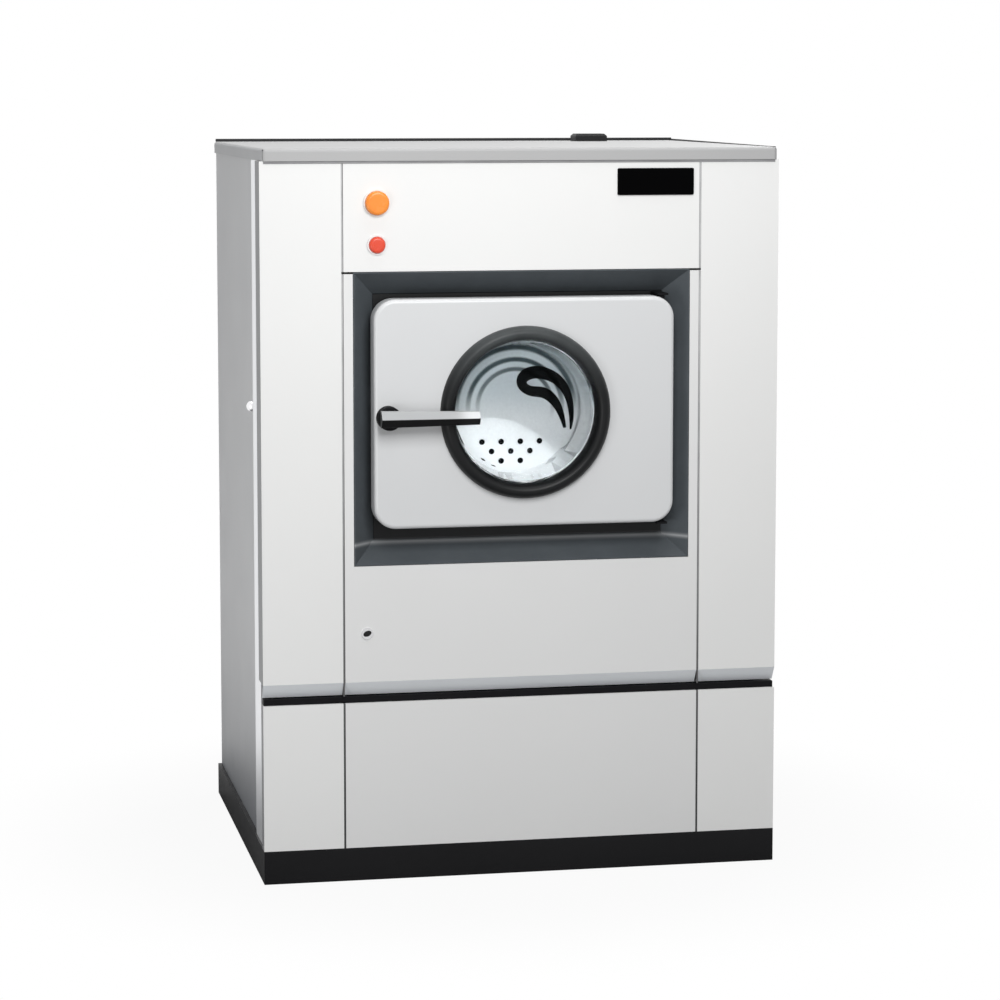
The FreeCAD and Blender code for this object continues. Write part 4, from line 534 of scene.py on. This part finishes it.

# %% [markdown]
# ## Metals
# The lever is a satin black bar; its upper facet is painted silver grey, a painted highlight of the
# light it catches, and the lower facet is black. Drum and tub are matt-rolled stainless steel, and a
# good part of the light that falls on them is scattered, which is why the drum looks pale through the
# glass. Shafts and bearings are bare machined steel, the pulleys and the bearing housing are cast iron
# and the water valves are brass.

# %% Metal finishes
# The upper facet of the black lever is painted silver grey: a painted highlight.
lever_satin = metal(
    "lever_satin", (0.006, 0.006, 0.0065), stretch=(30.0, 700.0, 700.0), drift=0.12, gloss=0.34,
    bump=0.1, specular=0.12, facing=(("Z", -0.1, 0.3, (0.45, 0.46, 0.465)),),
)
stainless = metal(
    "stainless", (0.90, 0.915, 0.925), stretch=(260.0, 30.0, 260.0), drift=0.04, gloss=0.38,
    bump=0.06, metallic=0.25,
)
machined = metal(
    "machined", (0.52, 0.52, 0.53), stretch=(120.0, 900.0, 120.0), drift=0.1, gloss=0.24,
    bump=0.15, metallic=1.0,
)
chrome = metal(
    "chrome", (0.62, 0.62, 0.63), stretch=(300.0, 300.0, 300.0), drift=0.08, gloss=0.2,
    bump=0.05, metallic=1.0,
)
plug_bright = metal(
    "plug_bright", (0.92, 0.92, 0.93), stretch=(300.0, 300.0, 300.0), drift=0.03, gloss=0.1,
    bump=0.03, metallic=1.0,
)
cast_iron = plastic(
    "cast_iron", (0.10, 0.10, 0.105), drift=0.25, gloss=0.5, grain=420.0, bump=0.6, metallic=0.6,
)
brass = metal(
    "brass", (0.70, 0.50, 0.20), stretch=(200.0, 900.0, 200.0), drift=0.1, gloss=0.26,
    bump=0.15, metallic=1.0,
)
dress(lever_satin, "handle_lever")
dress(stainless, "tub_shell", "tub_front_head", "tub_rear_head", "drum_shell", "drum_rear_head")
dress(stainless, "drum_lifters", "water_pipes", "heating_elements")
dress(machined, "drum_shaft", "latch_spindle", "latch_keeper", "shaft_bearings", "glass_clamp_ring")
dress(machined, "rear_panel_screws")
dress(chrome, "panel_lock")
dress(cast_iron, "drum_pulley", "motor_pulley", "bearing_housing")
dress(brass, "water_valves")

# %% [markdown]
# ## Inside the cabinet
# The chassis, the frame and the plates are painted a plain mid grey before assembly, the motor has
# a bluer machine enamel, and the drain and vent pipes are grey moulded plastic.

# %% Inner paint and pipes
frame_paint = paint(
    "frame_paint", (0.22, 0.225, 0.23), drift=0.08, gloss=0.42, peel=260.0, bump=0.2,
)
motor_paint = paint(
    "motor_paint", (0.16, 0.18, 0.20), drift=0.1, gloss=0.36, peel=220.0, bump=0.25,
)
drain_plastic = plastic(
    "drain_plastic", (0.28, 0.285, 0.29), drift=0.08, gloss=0.4, grain=700.0, bump=0.2,
)
gasket_grey = plastic(
    "gasket_grey", (0.40, 0.43, 0.45), drift=0.08, gloss=0.45, grain=1400.0, bump=0.25,
)
dress(frame_paint, "chassis", "cabinet_frame", "motor_plate", "door_back_plate", "control_box")
dress(motor_paint, "motor")
dress(drain_plastic, "drain_pipes", "vent_pipe")
dress(gasket_grey, "door_gasket")

# %% [markdown]
# ## Helpers for turned and swept pieces
# Several pieces of the door are round, so each is drawn as half of its section and turned about an
# axis, as on a lathe. Corners of a section are softened by a short curve. A finished mesh is smooth
# except where two faces meet at a real edge, and its place is in its points.

# %% Shape helpers
def rounded(points, reach, steps=6):
    """An open outline whose inner corners are replaced by short curves.

    A point just before and just after each curve keeps smooth shading flat along the straights.
    """
    soft = [points[0]]
    for before, corner, after in zip(points, points[1:], points[2:]):
        corner = Vector(corner)
        ways = [Vector(before) - corner, Vector(after) - corner]
        ends = [corner + way * min(reach / way.length, 0.45) for way in ways]
        holds = [corner + way * min(reach * 1.1 / way.length, 0.48) for way in ways]
        soft.append(tuple(holds[0]))
        for step in range(steps + 1):
            t = step / steps
            soft.append(tuple(ends[0] * (1 - t) ** 2 + corner * 2 * t * (1 - t) + ends[1] * t ** 2))
        soft.append(tuple(holds[1]))
    return soft + [points[-1]]


def piece_from(name, shape, material, crease=35.0):
    """Merges, turns the faces outwards and links a new piece."""
    bmesh.ops.remove_doubles(shape, verts=shape.verts, dist=1e-6)
    bmesh.ops.recalc_face_normals(shape, faces=shape.faces)
    mesh = bpy.data.meshes.new(name)
    shape.to_mesh(mesh)
    shape.free()
    mesh.shade_smooth()
    mesh.set_sharp_from_angle(angle=math.radians(crease))
    mesh.materials.append(material)
    piece = bpy.data.objects.new(name, mesh)
    link_to_scene(piece)
    print(name, len(mesh.polygons), "faces")
    return piece


def turned(name, outline, place, material, steps=96, crease=35.0):
    """Turns a closed outline of (radius, height) points; place maps the lathe's axis into the frame."""
    shape = bmesh.new()
    rings = []
    for step in range(steps):
        angle = math.tau * step / steps
        side = Vector((math.cos(angle), math.sin(angle), 0.0))
        rings.append([shape.verts.new(place @ (side * r + Vector((0, 0, h)))) for r, h in outline])
    count = len(outline)
    for here, there in zip(rings, rings[1:] + rings[:1]):
        for i in range(count):
            j = (i + 1) % count
            if outline[i][0] > 0.0 or outline[j][0] > 0.0:
                shape.faces.new((here[i], here[j], there[j], there[i]))
    return piece_from(name, shape, material, crease)


def middle(box):
    """The middle of a box."""
    return (Vector(box[0]) + Vector(box[1])) / 2


drum_axis = middle(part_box("drum_shell"))
along_y = Matrix(((1, 0, 0, drum_axis.x), (0, 0, 1, 0), (0, 1, 0, drum_axis.z), (0, 0, 0, 1)))
print("drum axis at x", round(drum_axis.x, 4), "z", round(drum_axis.z, 4))

# %% [markdown]
# ## The porthole ring
# The black ring is a moulding with a domed face: its upper edge catches the light and its lower half
# stays dark. The section is half an ellipse that stands on the door, so the highlight runs round it
# without a break.

# %% Porthole ring
ring_low, ring_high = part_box("door_ring")
ring_outer = (ring_high[0] - ring_low[0]) / 2
ring_inner = 0.138
ring_middle = (ring_outer + ring_inner) / 2
ring_half = (ring_outer - ring_inner) / 2
ring_depth = ring_high[1] - ring_low[1]
dome = [
    (ring_middle + ring_half * math.cos(t), ring_high[1] - ring_depth * math.sin(t) ** 0.75)
    for t in [math.pi * step / 20 for step in range(21)]
]
porthole_ring = turned("porthole_ring", dome, along_y, ring_black, crease=50.0)
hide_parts("door_ring")
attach(porthole_ring, "door")

# %% [markdown]
# ## The glass bowl
# The bowl is thick pressed glass with a faint blue-green cast. Pressed rings stiffen it, but no steps
# are drawn: real steps in the glass would tear the picture of the drum. Instead the upper half of the
# glass is painted a darker blue-green and carries soft dark arcs, darker bands in the colour of the
# glass measured from its axis: a painted reflection. Light would have to find its way through both
# faces to reach the drum, which a path tracer does badly, so shadow rays pass straight through; every
# other ray meets the glass. It bends light less than real glass, because two full mirror images of a
# white room would wash out the dark curls behind it.

# %% Glass
GLASS_REFLECTION_ARCS = ((0.1180, 0.0080, 0.95), (0.0940, 0.0070, 0.95), (0.0750, 0.0060, 0.80))


def bowl_glass():
    material, tree = new_material("bowl_glass")
    place = add(tree, "ShaderNodeTexCoord").outputs["Object"]
    ripple = noise(tree, place, 26.0, 2.0)
    waves = add(tree, "ShaderNodeBump", {"Height": ripple, "Strength": 0.02, "Distance": 0.0005})
    centred = add(tree, "ShaderNodeVectorMath", {0: place, 1: drum_axis}, operation="SUBTRACT")
    parts = add(tree, "ShaderNodeSeparateXYZ", {0: centred.outputs["Vector"]}).outputs
    flat = add(tree, "ShaderNodeCombineXYZ", {"X": parts["X"], "Z": parts["Z"]}).outputs[0]
    reach = add(tree, "ShaderNodeVectorMath", {0: flat}, operation="LENGTH").outputs["Value"]
    # The upper half of the glass is painted darker and carries the dark arcs: painted reflection.
    upper = ramp_between(tree, parts["Z"], -0.03, 0.05)
    colour = mix_colour(tree, upper, (0.97, 0.985, 0.99), (0.80, 0.86, 0.88))
    for ring, half_width, depth in GLASS_REFLECTION_ARCS:
        gap = math_node(tree, "ABSOLUTE", math_node(tree, "SUBTRACT", reach, ring))
        band = ramp_between(tree, gap, half_width, half_width * 0.3)
        band = math_node(tree, "MULTIPLY", math_node(tree, "MULTIPLY", band, upper), depth)
        colour = mix_colour(tree, band, colour, (0.05, 0.08, 0.09))
    glass = add(tree, "ShaderNodeBsdfPrincipled", {
        "Base Color": colour, "Roughness": 0.0, "IOR": 1.1,
        "Transmission Weight": 1.0, "Normal": waves.outputs["Normal"],
    })
    clear = add(tree, "ShaderNodeBsdfTransparent", {"Color": (0.95, 0.965, 0.97, 1.0)})
    shadow = add(tree, "ShaderNodeLightPath").outputs["Is Shadow Ray"]
    mixed = add(tree, "ShaderNodeMixShader", {0: shadow, 1: glass.outputs[0], 2: clear.outputs[0]})
    add(tree, "ShaderNodeOutputMaterial", {"Surface": mixed.outputs[0]})
    return material


glass_low, glass_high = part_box("door_glass")
rim_radius = (glass_high[0] - glass_low[0]) / 2
rim_front = glass_low[1]
rim_back = rim_front + 0.008
bowl_back = glass_high[1]
bowl_front = bowl_back - 0.007
wall_top = 0.136
wall_foot = 0.126
wall_thickness = 0.006
hollow_side = [
    (0.0, bowl_front), (wall_foot, bowl_front), (wall_top, rim_front), (rim_radius, rim_front),
]
drum_side = [
    (rim_radius, rim_back), (wall_top + wall_thickness, rim_back),
    (wall_foot + wall_thickness, bowl_back), (0.0, bowl_back),
]
bowl_section = rounded(hollow_side, 0.006) + rounded(drum_side, 0.010)
pressed_bowl = turned("pressed_bowl", bowl_section, along_y, bowl_glass(), steps=144, crease=60.0)
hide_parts("door_glass")
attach(pressed_bowl, "door")

# %% [markdown]
# ## The door gasket
# Between the tub's neck and the door sits a pale grey rubber bellows. Its folds let the tub shake
# without losing the seal. The inner wall of its section is a wave, the outer wall is plain.

# %% Gasket
gasket_low, gasket_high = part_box("door_gasket")
gasket_outer = (gasket_high[0] - gasket_low[0]) / 2
gasket_inner = 0.170
fold_count = 3
fold_depth = 0.008
gasket_section = [(gasket_outer, gasket_high[1]), (gasket_outer, gasket_low[1])]
for step in range(37):
    share = step / 36
    crest = fold_depth * 0.5 * (1.0 - math.cos(math.tau * fold_count * share))
    gasket_section.append((gasket_inner + crest, gasket_low[1] + share * (gasket_high[1] - gasket_low[1])))
door_bellows = turned("door_bellows", gasket_section, along_y, gasket_grey, crease=50.0)
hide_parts("door_gasket")
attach(door_bellows, "cabinet")

# %% [markdown]
# ## Perforations in the drum back
# The pressed back of the drum has staggered rows of drain holes with rolled rims. Cutting hundreds of
# holes would make a heavy mesh, so Geometry Nodes lay out a grid, shift every second row by half a
# pitch, keep the points of three fields between the lifters, and set a small piece on each: once a
# rim, once the dark hole inside it. A field lies between a chord and a circle and repeats every third
# of a turn. Both pieces come from one tree with named inputs.

# %% Perforation tree
def new_tree(name, inputs):
    """A geometry tree with named inputs; gives the tree, its inputs by name and its output node."""
    tree = bpy.data.node_groups.new(name, "GeometryNodeTree")
    kinds = {
        "geometry": "NodeSocketGeometry", "length": "NodeSocketFloat", "count": "NodeSocketInt",
        "finish": "NodeSocketMaterial", "thing": "NodeSocketObject", "choice": "NodeSocketBool",
    }
    for socket, kind in inputs:
        tree.interface.new_socket(socket, in_out="INPUT", socket_type=kinds[kind])
    tree.interface.new_socket("Geometry", in_out="OUTPUT", socket_type=kinds["geometry"])
    return tree, tree.nodes.new("NodeGroupInput").outputs, tree.nodes.new("NodeGroupOutput")


def frozen(start):
    """The evaluated shape of an object as a plain mesh; the object goes."""
    link_to_scene(start)
    depsgraph = bpy.context.evaluated_depsgraph_get()
    mesh = bpy.data.meshes.new_from_object(start.evaluated_get(depsgraph))
    bpy.data.objects.remove(start)
    return mesh


def grown(name, tree, mesh, values):
    """Runs a geometry tree on a start mesh and keeps the result as a plain mesh."""
    start = bpy.data.objects.new(name + "_start", mesh)
    modifier = start.modifiers.new("tree", "NODES")
    modifier.node_group = tree
    for item in tree.interface.items_tree:
        if item.in_out == "INPUT" and item.name in values:
            modifier[item.identifier] = values[item.name]
    result = frozen(start)
    result.name = name
    piece = bpy.data.objects.new(name, result)
    link_to_scene(piece)
    print(name, len(result.polygons), "faces")
    return piece


hole_rows, given, result = new_tree("hole_rows", (
    ("Across", "length"), ("Between Rows", "length"), ("Count", "count"), ("Start", "length"),
    ("Chord Reach", "length"), ("Side Reach", "length"), ("Outer Reach", "length"),
    ("Hole Radius", "length"), ("Rim Wire", "length"), ("Is Rim", "choice"),
    ("Wall", "length"), ("Axis Height", "length"), ("Finish", "finish"),
))
sums = partial(math_node, hole_rows)
part = partial(add, hole_rows)
span = sums("SUBTRACT", given["Count"], 1.0)
wide = sums("MULTIPLY", given["Across"], span)
tall = sums("MULTIPLY", given["Between Rows"], span)
grid = part("GeometryNodeMeshGrid", {
    "Size X": wide, "Size Y": tall, "Vertices X": given["Count"], "Vertices Y": given["Count"],
})
spot = part("GeometryNodeInputPosition").outputs[0]
parts = part("ShaderNodeSeparateXYZ", {0: spot}).outputs
row = sums("ROUND", sums("DIVIDE", parts["Y"], given["Between Rows"]))
odd = sums("MODULO", sums("ABSOLUTE", row), 2.0)
half = sums("MULTIPLY", given["Across"], 0.5)
beside = sums("ADD", sums("MULTIPLY", odd, half), given["Start"])
shift = part("ShaderNodeCombineXYZ", {"X": beside})
staggered = part("GeometryNodeSetPosition", {
    "Geometry": grid.outputs["Mesh"], "Offset": shift.outputs[0],
})
reach = part("ShaderNodeVectorMath", {0: spot}, operation="LENGTH").outputs["Value"]
within = sums("LESS_THAN", reach, given["Outer Reach"])
turn = sums("ARCTAN2", parts["Y"], parts["X"])
turn = sums("ADD", turn, math.radians(150.0))
turn = sums("FLOORED_MODULO", turn, math.radians(120.0))
turn = sums("SUBTRACT", turn, math.radians(60.0))
down = sums("MULTIPLY", reach, sums("COSINE", turn))
beside = sums("MULTIPLY", reach, sums("SINE", turn))
beyond = sums("GREATER_THAN", down, given["Chord Reach"])
aside = sums("GREATER_THAN", beside, given["Side Reach"])
field = sums("MULTIPLY", sums("MULTIPLY", within, beyond), aside)
edge = part("GeometryNodeCurvePrimitiveCircle", {"Resolution": 12, "Radius": given["Hole Radius"]})
wire = part("GeometryNodeCurvePrimitiveCircle", {"Resolution": 6, "Radius": given["Rim Wire"]})
rim = part("GeometryNodeCurveToMesh", {
    "Curve": edge.outputs["Curve"], "Profile Curve": wire.outputs["Curve"],
})
hole = part("GeometryNodeMeshCircle", {
    "Vertices": 12, "Radius": given["Hole Radius"],
}, fill_type="NGON")
shape = part("GeometryNodeSwitch", {
    "Switch": given["Is Rim"], "False": hole.outputs["Mesh"], "True": rim.outputs["Mesh"],
}, input_type="GEOMETRY")
sown = part("GeometryNodeInstanceOnPoints", {
    "Points": staggered.outputs["Geometry"], "Selection": field, "Instance": shape.outputs[0],
})
solid = part("GeometryNodeRealizeInstances", {"Geometry": sown.outputs[0]})
lift = part("ShaderNodeCombineXYZ", {"Y": given["Wall"], "Z": given["Axis Height"]})
upright = part("GeometryNodeTransform", {
    "Geometry": solid.outputs[0], "Translation": lift.outputs[0], "Rotation": (math.pi / 2, 0.0, 0.0),
})
dressed = part("GeometryNodeSetMaterial", {
    "Geometry": upright.outputs[0], "Material": given["Finish"],
})
hole_rows.links.new(dressed.outputs[0], result.inputs[0])
print("tree:", hole_rows.name)

# %% [markdown]
# The holes are about 14 mm across, 41 mm apart in a row, and the rows are 20 mm apart, as counted
# through the glass.

# %% Perforations
# The holes are black discs on the steel: painted shade for the dark inside of each hole.
hole_dark = plastic(
    "hole_dark", (0.004, 0.0045, 0.005), drift=0.2, gloss=0.6, grain=300.0, bump=0.1, specular=0.05,
)
drum_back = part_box("drum_rear_head")[0][1]
hole_field = {
    "Across": 0.0415, "Between Rows": 0.0205, "Count": 31, "Start": 0.0275,
    "Chord Reach": 0.114, "Side Reach": 0.018, "Outer Reach": 0.204,
    "Hole Radius": 0.0072, "Rim Wire": 0.0011, "Axis Height": drum_axis.z,
}
for name, is_rim, finish, proud in (
    ("drum_hole_rims", True, stainless, 0.0002), ("drum_holes", False, hole_dark, 0.0004),
):
    choices = {"Is Rim": is_rim, "Finish": finish, "Wall": drum_back - proud}
    holes = grown(name, hole_rows, bpy.data.meshes.new(name + "_seed"), {**hole_field, **choices})
    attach(holes, "drum")

# %% [markdown]
# ## The dark curls on the drum back
# Through the glass a dark hook shows above the middle. It is a painted reflection: a black curl laid
# on the back of the drum, one for each lifter. It is drawn as a smooth path with a swelling head and
# thin tails, given a round section, and flattened so that it lies on the steel.

# %% Curled ribs
CURL_PATH = (
    (0.221, -0.100, 0.35), (0.223, -0.063, 0.60), (0.216, -0.023, 0.95), (0.192, 0.010, 1.30),
    (0.155, 0.025, 1.50), (0.126, 0.023, 1.50), (0.111, 0.008, 1.30), (0.115, -0.008, 1.10),
    (0.135, -0.019, 1.20), (0.158, -0.017, 1.30), (0.182, -0.032, 1.20), (0.199, -0.060, 0.80),
    (0.207, -0.096, 0.35),
)
CURL_RADIUS = 0.0095
CURL_FLATNESS = 0.55


def painted_dark_curl(name, turn):
    """One dark curl, a painted reflection, turned about the drum's axis; its path lies on the face of the
    drum back.
    """
    curve = bpy.data.curves.new(name, "CURVE")
    curve.dimensions = "3D"
    curve.bevel_depth = CURL_RADIUS
    curve.bevel_resolution = 3
    curve.use_fill_caps = True
    line = curve.splines.new("NURBS")
    line.points.add(len(CURL_PATH) - 1)
    for point, (across, up, swell) in zip(line.points, CURL_PATH):
        x = across * math.cos(turn) - up * math.sin(turn)
        z = across * math.sin(turn) + up * math.cos(turn)
        point.co = (x, 0.0, z, 1.0)
        point.radius = swell
    line.order_u = 4
    line.use_endpoint_u = True
    line.resolution_u = 6
    shape = bmesh.new()
    shape.from_mesh(frozen(bpy.data.objects.new(name + "_path", curve)))
    for vert in shape.verts:
        vert.co = (vert.co.x + drum_axis.x, vert.co.y * CURL_FLATNESS + drum_back, vert.co.z + drum_axis.z)
    return piece_from(name, shape, hole_dark)


CURL_COUNT = 3
for index in range(CURL_COUNT):
    curl_piece = painted_dark_curl(f"drum_curl_{index + 1}", math.tau * index / CURL_COUNT)
    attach(curl_piece, "drum")

# %% [markdown]
# ## Small things on the cabinet
# A dark bead runs along the rear edge of the top cover and a lower one along its right edge, which
# thins out towards the front: both are painted shade, dark lines where the edges of the cover lie in
# shade. A grey strip under the front edge is painted shade too, the shadow line under the cover. Thin
# rubber strips close the joints behind the corner trims and the gaps beside the middle panels, these
# paler above and darker towards the floor, a painted fall of light. A round bright plug closes a hole
# in the left side, and the cam lock has a dark shutter over its key slot. The rear bead is drawn as a
# section and pulled along, the side bead, the grey strip and the seals are plain bars, and plug and
# shutter are turned.

# %% Dark shade lines on the top cover
def pulled(name, section, start, end, material):
    """A strip along X from a section of (y, z) points."""
    shape = bmesh.new()
    ends = [[shape.verts.new((x, y, z)) for y, z in section] for x in (start, end)]
    count = len(section)
    for i in range(count):
        j = (i + 1) % count
        shape.faces.new((ends[0][i], ends[0][j], ends[1][j], ends[1][i]))
    for loop in ends:
        shape.faces.new(loop)
    return piece_from(name, shape, material)


cover_low, cover_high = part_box("top_cover")
bead_width = 0.008
bead_height = 0.006
bead_line = cover_high[1] - 0.006
bead_section = [
    (bead_line + bead_width / 2 * math.cos(t), cover_high[2] + bead_height * math.sin(t))
    for t in [math.pi * step / 10 for step in range(11)]
]
edge_inset = 0.003
edge_left, edge_right = cover_low[0] + edge_inset, cover_high[0] - edge_inset
# A dark line along the rear edge of the cover: painted shade.
lid_bead = pulled("lid_bead", bead_section, edge_left, edge_right, plastic_black)
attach(lid_bead, "cabinet")


def bar(name, low, high, material):
    """A plain box between two corners."""
    shape = bmesh.new()
    bmesh.ops.create_cube(shape, size=1.0)
    for vert in shape.verts:
        vert.co = [low[i] + (vert.co[i] + 0.5) * (high[i] - low[i]) for i in range(3)]
    return piece_from(name, shape, material)


edge_width = 0.005
edge_rear_height = 0.0035
edge_front_height = 0.0008
edge_sunk = 0.0006
edge_low = (edge_right - edge_width, cover_low[1] + edge_inset, cover_high[2] - edge_sunk)
edge_high = (edge_right, bead_line, cover_high[2] + edge_rear_height)
# A dark line along the right edge of the cover: painted shade.
lid_edge = bar("lid_edge", edge_low, edge_high, plastic_black)
for vert in lid_edge.data.vertices:
    if vert.co.y < 0.0 and vert.co.z > cover_high[2]:
        vert.co.z = cover_high[2] + edge_front_height
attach(lid_edge, "cabinet")

# %% Seals
front_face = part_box("left_front_column")[0][1]
shade_strip_height = 0.005
shade_strip_inset = 0.004
shade_strip_proud = 0.0012
# The grey strip under the front edge of the cover is painted shade: the shadow line under it.
shade_strip_low = (cover_low[0] + shade_strip_inset, front_face - shade_strip_proud, cover_low[2] - shade_strip_height)
shade_strip_high = (cover_high[0] - shade_strip_inset, front_face + 0.0004, cover_low[2] + 0.0008)
lid_seal = bar("lid_seal", shade_strip_low, shade_strip_high, seal_grey)
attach(lid_seal, "cabinet")

SIDES = (("left", -1), ("right", 1))
side_low, side_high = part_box("right_side_panel")
joint_back = side_high[0] - 0.003
strip_thickness = 0.0015
for side, sign in SIDES:
    across = sorted((sign * (joint_back - strip_thickness), sign * joint_back))
    strip_low = (across[0], side_low[1] - 0.006, side_low[2])
    strip_high = (across[1], side_low[1] + 0.004, side_high[2])
    strip = bar(f"trim_seal_{side}", strip_low, strip_high, rubber_black)
    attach(strip, "cabinet")

column_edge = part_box("right_front_column")[0][0]
panel_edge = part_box("service_panel")[1][0]
neighbours = {"upper": "service_panel", "top": "control_fascia", "lower": "kick_panel_centre"}
for level, neighbour in neighbours.items():
    span_low, span_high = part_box(neighbour)
    for side, sign in SIDES:
        across = sorted((sign * (panel_edge + 0.0008), sign * column_edge))
        strip_low = (across[0], front_face + 0.0012, span_low[2])
        strip_high = (across[1], front_face + 0.0024, span_high[2])
        strip = bar(f"gap_seal_{level}_{side}", strip_low, strip_high, gap_grey)
        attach(strip, "cabinet")

# %% Plug and key shutter
side_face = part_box("left_side_panel")[0][0]
plug_depth = -0.204
plug_level = 0.911
plug_radius = 0.011
plug_height = 0.0115
plug_outline = [(0.0, -0.0005), (plug_radius, -0.0005)] + [
    (plug_radius * math.cos(t), plug_height * math.sin(t))
    for t in [math.pi / 2 * step / 8 for step in range(1, 9)]
]
to_left = Matrix(((0, 0, -1, side_face), (1, 0, 0, plug_depth), (0, 1, 0, plug_level), (0, 0, 0, 1)))
side_plug = turned("side_plug", plug_outline, to_left, plug_bright, steps=24)
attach(side_plug, "cabinet")

lock_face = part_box("panel_lock")[0][1]
flange = [vert.co for vert in nodes["panel_lock"].data.vertices if vert.co.y < lock_face + 0.0001]
lock_x = (min(co.x for co in flange) + max(co.x for co in flange)) / 2
lock_z = (min(co.z for co in flange) + max(co.z for co in flange)) / 2
slot_long, slot_wide, slot_tilt = 0.0085, 0.0056, math.radians(22.0)
across, along = slot_long * math.cos(slot_tilt), slot_long * math.sin(slot_tilt)
over, up = slot_wide * math.sin(slot_tilt), slot_wide * math.cos(slot_tilt)
slot_depth = 0.0007
to_lock = Matrix((
    (across, -over, 0, lock_x), (0, 0, -slot_depth, lock_face), (along, up, 0, lock_z), (0, 0, 0, 1),
))
slot_outline = [(0.0, -0.3), (1.0, -0.3), (0.95, 0.6), (0.75, 1.0), (0.0, 1.0)]
key_shutter = turned("key_shutter", slot_outline, to_lock, plastic_black, steps=24)
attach(key_shutter, "lock_plug")

# %% [markdown]
# ## Screws on the rear panel
# The rear panel is held by nine pan-head screws with a cross recess. One head is modelled with its
# recess cut in, and Geometry Nodes set it on nine points, which are the middles of the plain heads in
# the frame.

# %% Screw head
HEAD_RADIUS = 0.005
HEAD_HEIGHT = 0.0028
RECESS_ARM = 0.0026
RECESS_HALF = 0.0006
RECESS_DEPTH = 0.0016


def screw_head():
    """A pan head that faces +Z, with a cross cut into its flat top."""
    shape = bmesh.new()
    steps = 20
    angles = [math.tau * step / steps for step in range(steps)]
    loops = []
    for width, share in ((1.0, 0.0), (1.0, 0.35), (0.93, 0.75), (0.76, 1.0)):
        radius = HEAD_RADIUS * width
        loops.append([
            shape.verts.new((radius * math.cos(a), radius * math.sin(a), HEAD_HEIGHT * share)) for a in angles
        ])
    for low, high in zip(loops, loops[1:]):
        for i in range(steps):
            j = (i + 1) % steps
            shape.faces.new((low[i], low[j], high[j], high[i]))
    corner = [(RECESS_ARM, RECESS_HALF), (RECESS_HALF, RECESS_HALF), (RECESS_HALF, RECESS_ARM)]
    cross = []
    for quarter in range(4):
        turn = Matrix.Rotation(quarter * math.pi / 2, 2)
        cross += [turn @ Vector(point) for point in corner]
    brim = [shape.verts.new((*point, HEAD_HEIGHT)) for point in cross]
    pit = [shape.verts.new((*(point * 0.7), HEAD_HEIGHT - RECESS_DEPTH)) for point in cross]
    for i in range(len(cross)):
        j = (i + 1) % len(cross)
        shape.faces.new((brim[i], brim[j], pit[j], pit[i]))
    shape.faces.new(pit)
    rims = [shape.edges.get((a, b)) for a, b in zip(brim, brim[1:] + brim[:1])]
    rims += [shape.edges.get((a, b)) for a, b in zip(loops[-1], loops[-1][1:] + loops[-1][:1])]
    bmesh.ops.triangle_fill(shape, edges=rims, use_beauty=True)
    return piece_from("screw_head", shape, machined)


screw_rows, given, result = new_tree("screw_rows", (
    ("Geometry", "geometry"), ("Head", "thing"), ("Finish", "finish"),
))
head = add(screw_rows, "GeometryNodeObjectInfo", {"Object": given["Head"], "As Instance": True})
set_on = add(screw_rows, "GeometryNodeInstanceOnPoints", {
    "Points": given["Geometry"], "Instance": head.outputs["Geometry"], "Rotation": (-math.pi / 2, 0.0, 0.0),
})
solid = add(screw_rows, "GeometryNodeRealizeInstances", {"Geometry": set_on.outputs[0]})
dressed = add(screw_rows, "GeometryNodeSetMaterial", {
    "Geometry": solid.outputs[0], "Material": given["Finish"],
})
screw_rows.links.new(dressed.outputs[0], result.inputs[0])
print("tree:", screw_rows.name)

# %% Screws
def head_middles(mesh, spread):
    """Middles of heads on the rear panel that stand further apart than the spread."""
    heads = []
    for vert in mesh.vertices:
        spot = Vector((vert.co.x, 0.0, vert.co.z))
        near = [head for head in heads if (head[0] - spot).length < spread]
        if near:
            near[0].append(spot)
        else:
            heads.append([spot])
    lows = [[min(spot[i] for spot in head) for i in range(3)] for head in heads]
    highs = [[max(spot[i] for spot in head) for i in range(3)] for head in heads]
    return [middle(box) for box in zip(lows, highs)]


rear_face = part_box("rear_panel")[1][1]
plain_heads = nodes["rear_panel_screws"].data
screw_spots = [(spot.x, rear_face, spot.z) for spot in head_middles(plain_heads, 0.02)]
spots_mesh = bpy.data.meshes.new("screw_spots")
spots_mesh.from_pydata(screw_spots, [], [])
template = screw_head()
rear_screws = grown("rear_screws", screw_rows, spots_mesh, {"Head": template, "Finish": machined})
bpy.data.objects.remove(template)
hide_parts("rear_panel_screws")
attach(rear_screws, "cabinet")
print("screws:", len(screw_spots))

# %% [markdown]
# ## Button caps
# The caps are clear-topped plastic, amber above and red below. A little light scatters under the
# skin, which keeps the colour bright in the shade of the dome.

# %% Button plastics
def button_plastic(name, tone):
    material = plastic(name, tone, drift=0.05, gloss=0.2, grain=800.0, bump=0.05)
    shader = [node for node in material.node_tree.nodes if node.type == "BSDF_PRINCIPLED"][0]
    shader.inputs["Subsurface Weight"].default_value = 0.25
    shader.inputs["Subsurface Radius"].default_value = (0.006, 0.003, 0.001)
    return material


dress(button_plastic("amber_cap", (0.95, 0.29, 0.030)), "start_button")
dress(button_plastic("red_cap", (0.80, 0.075, 0.030)), "stop_button")

# %% [markdown]
# ## Nodes without a finish
# The last line lists the carried-over nodes that are shown and have no finish.

# %% Finish
undressed = [name for name, node in nodes.items() if not node.hide_render and not node.data.materials]
print("nodes without a finish:", undressed)
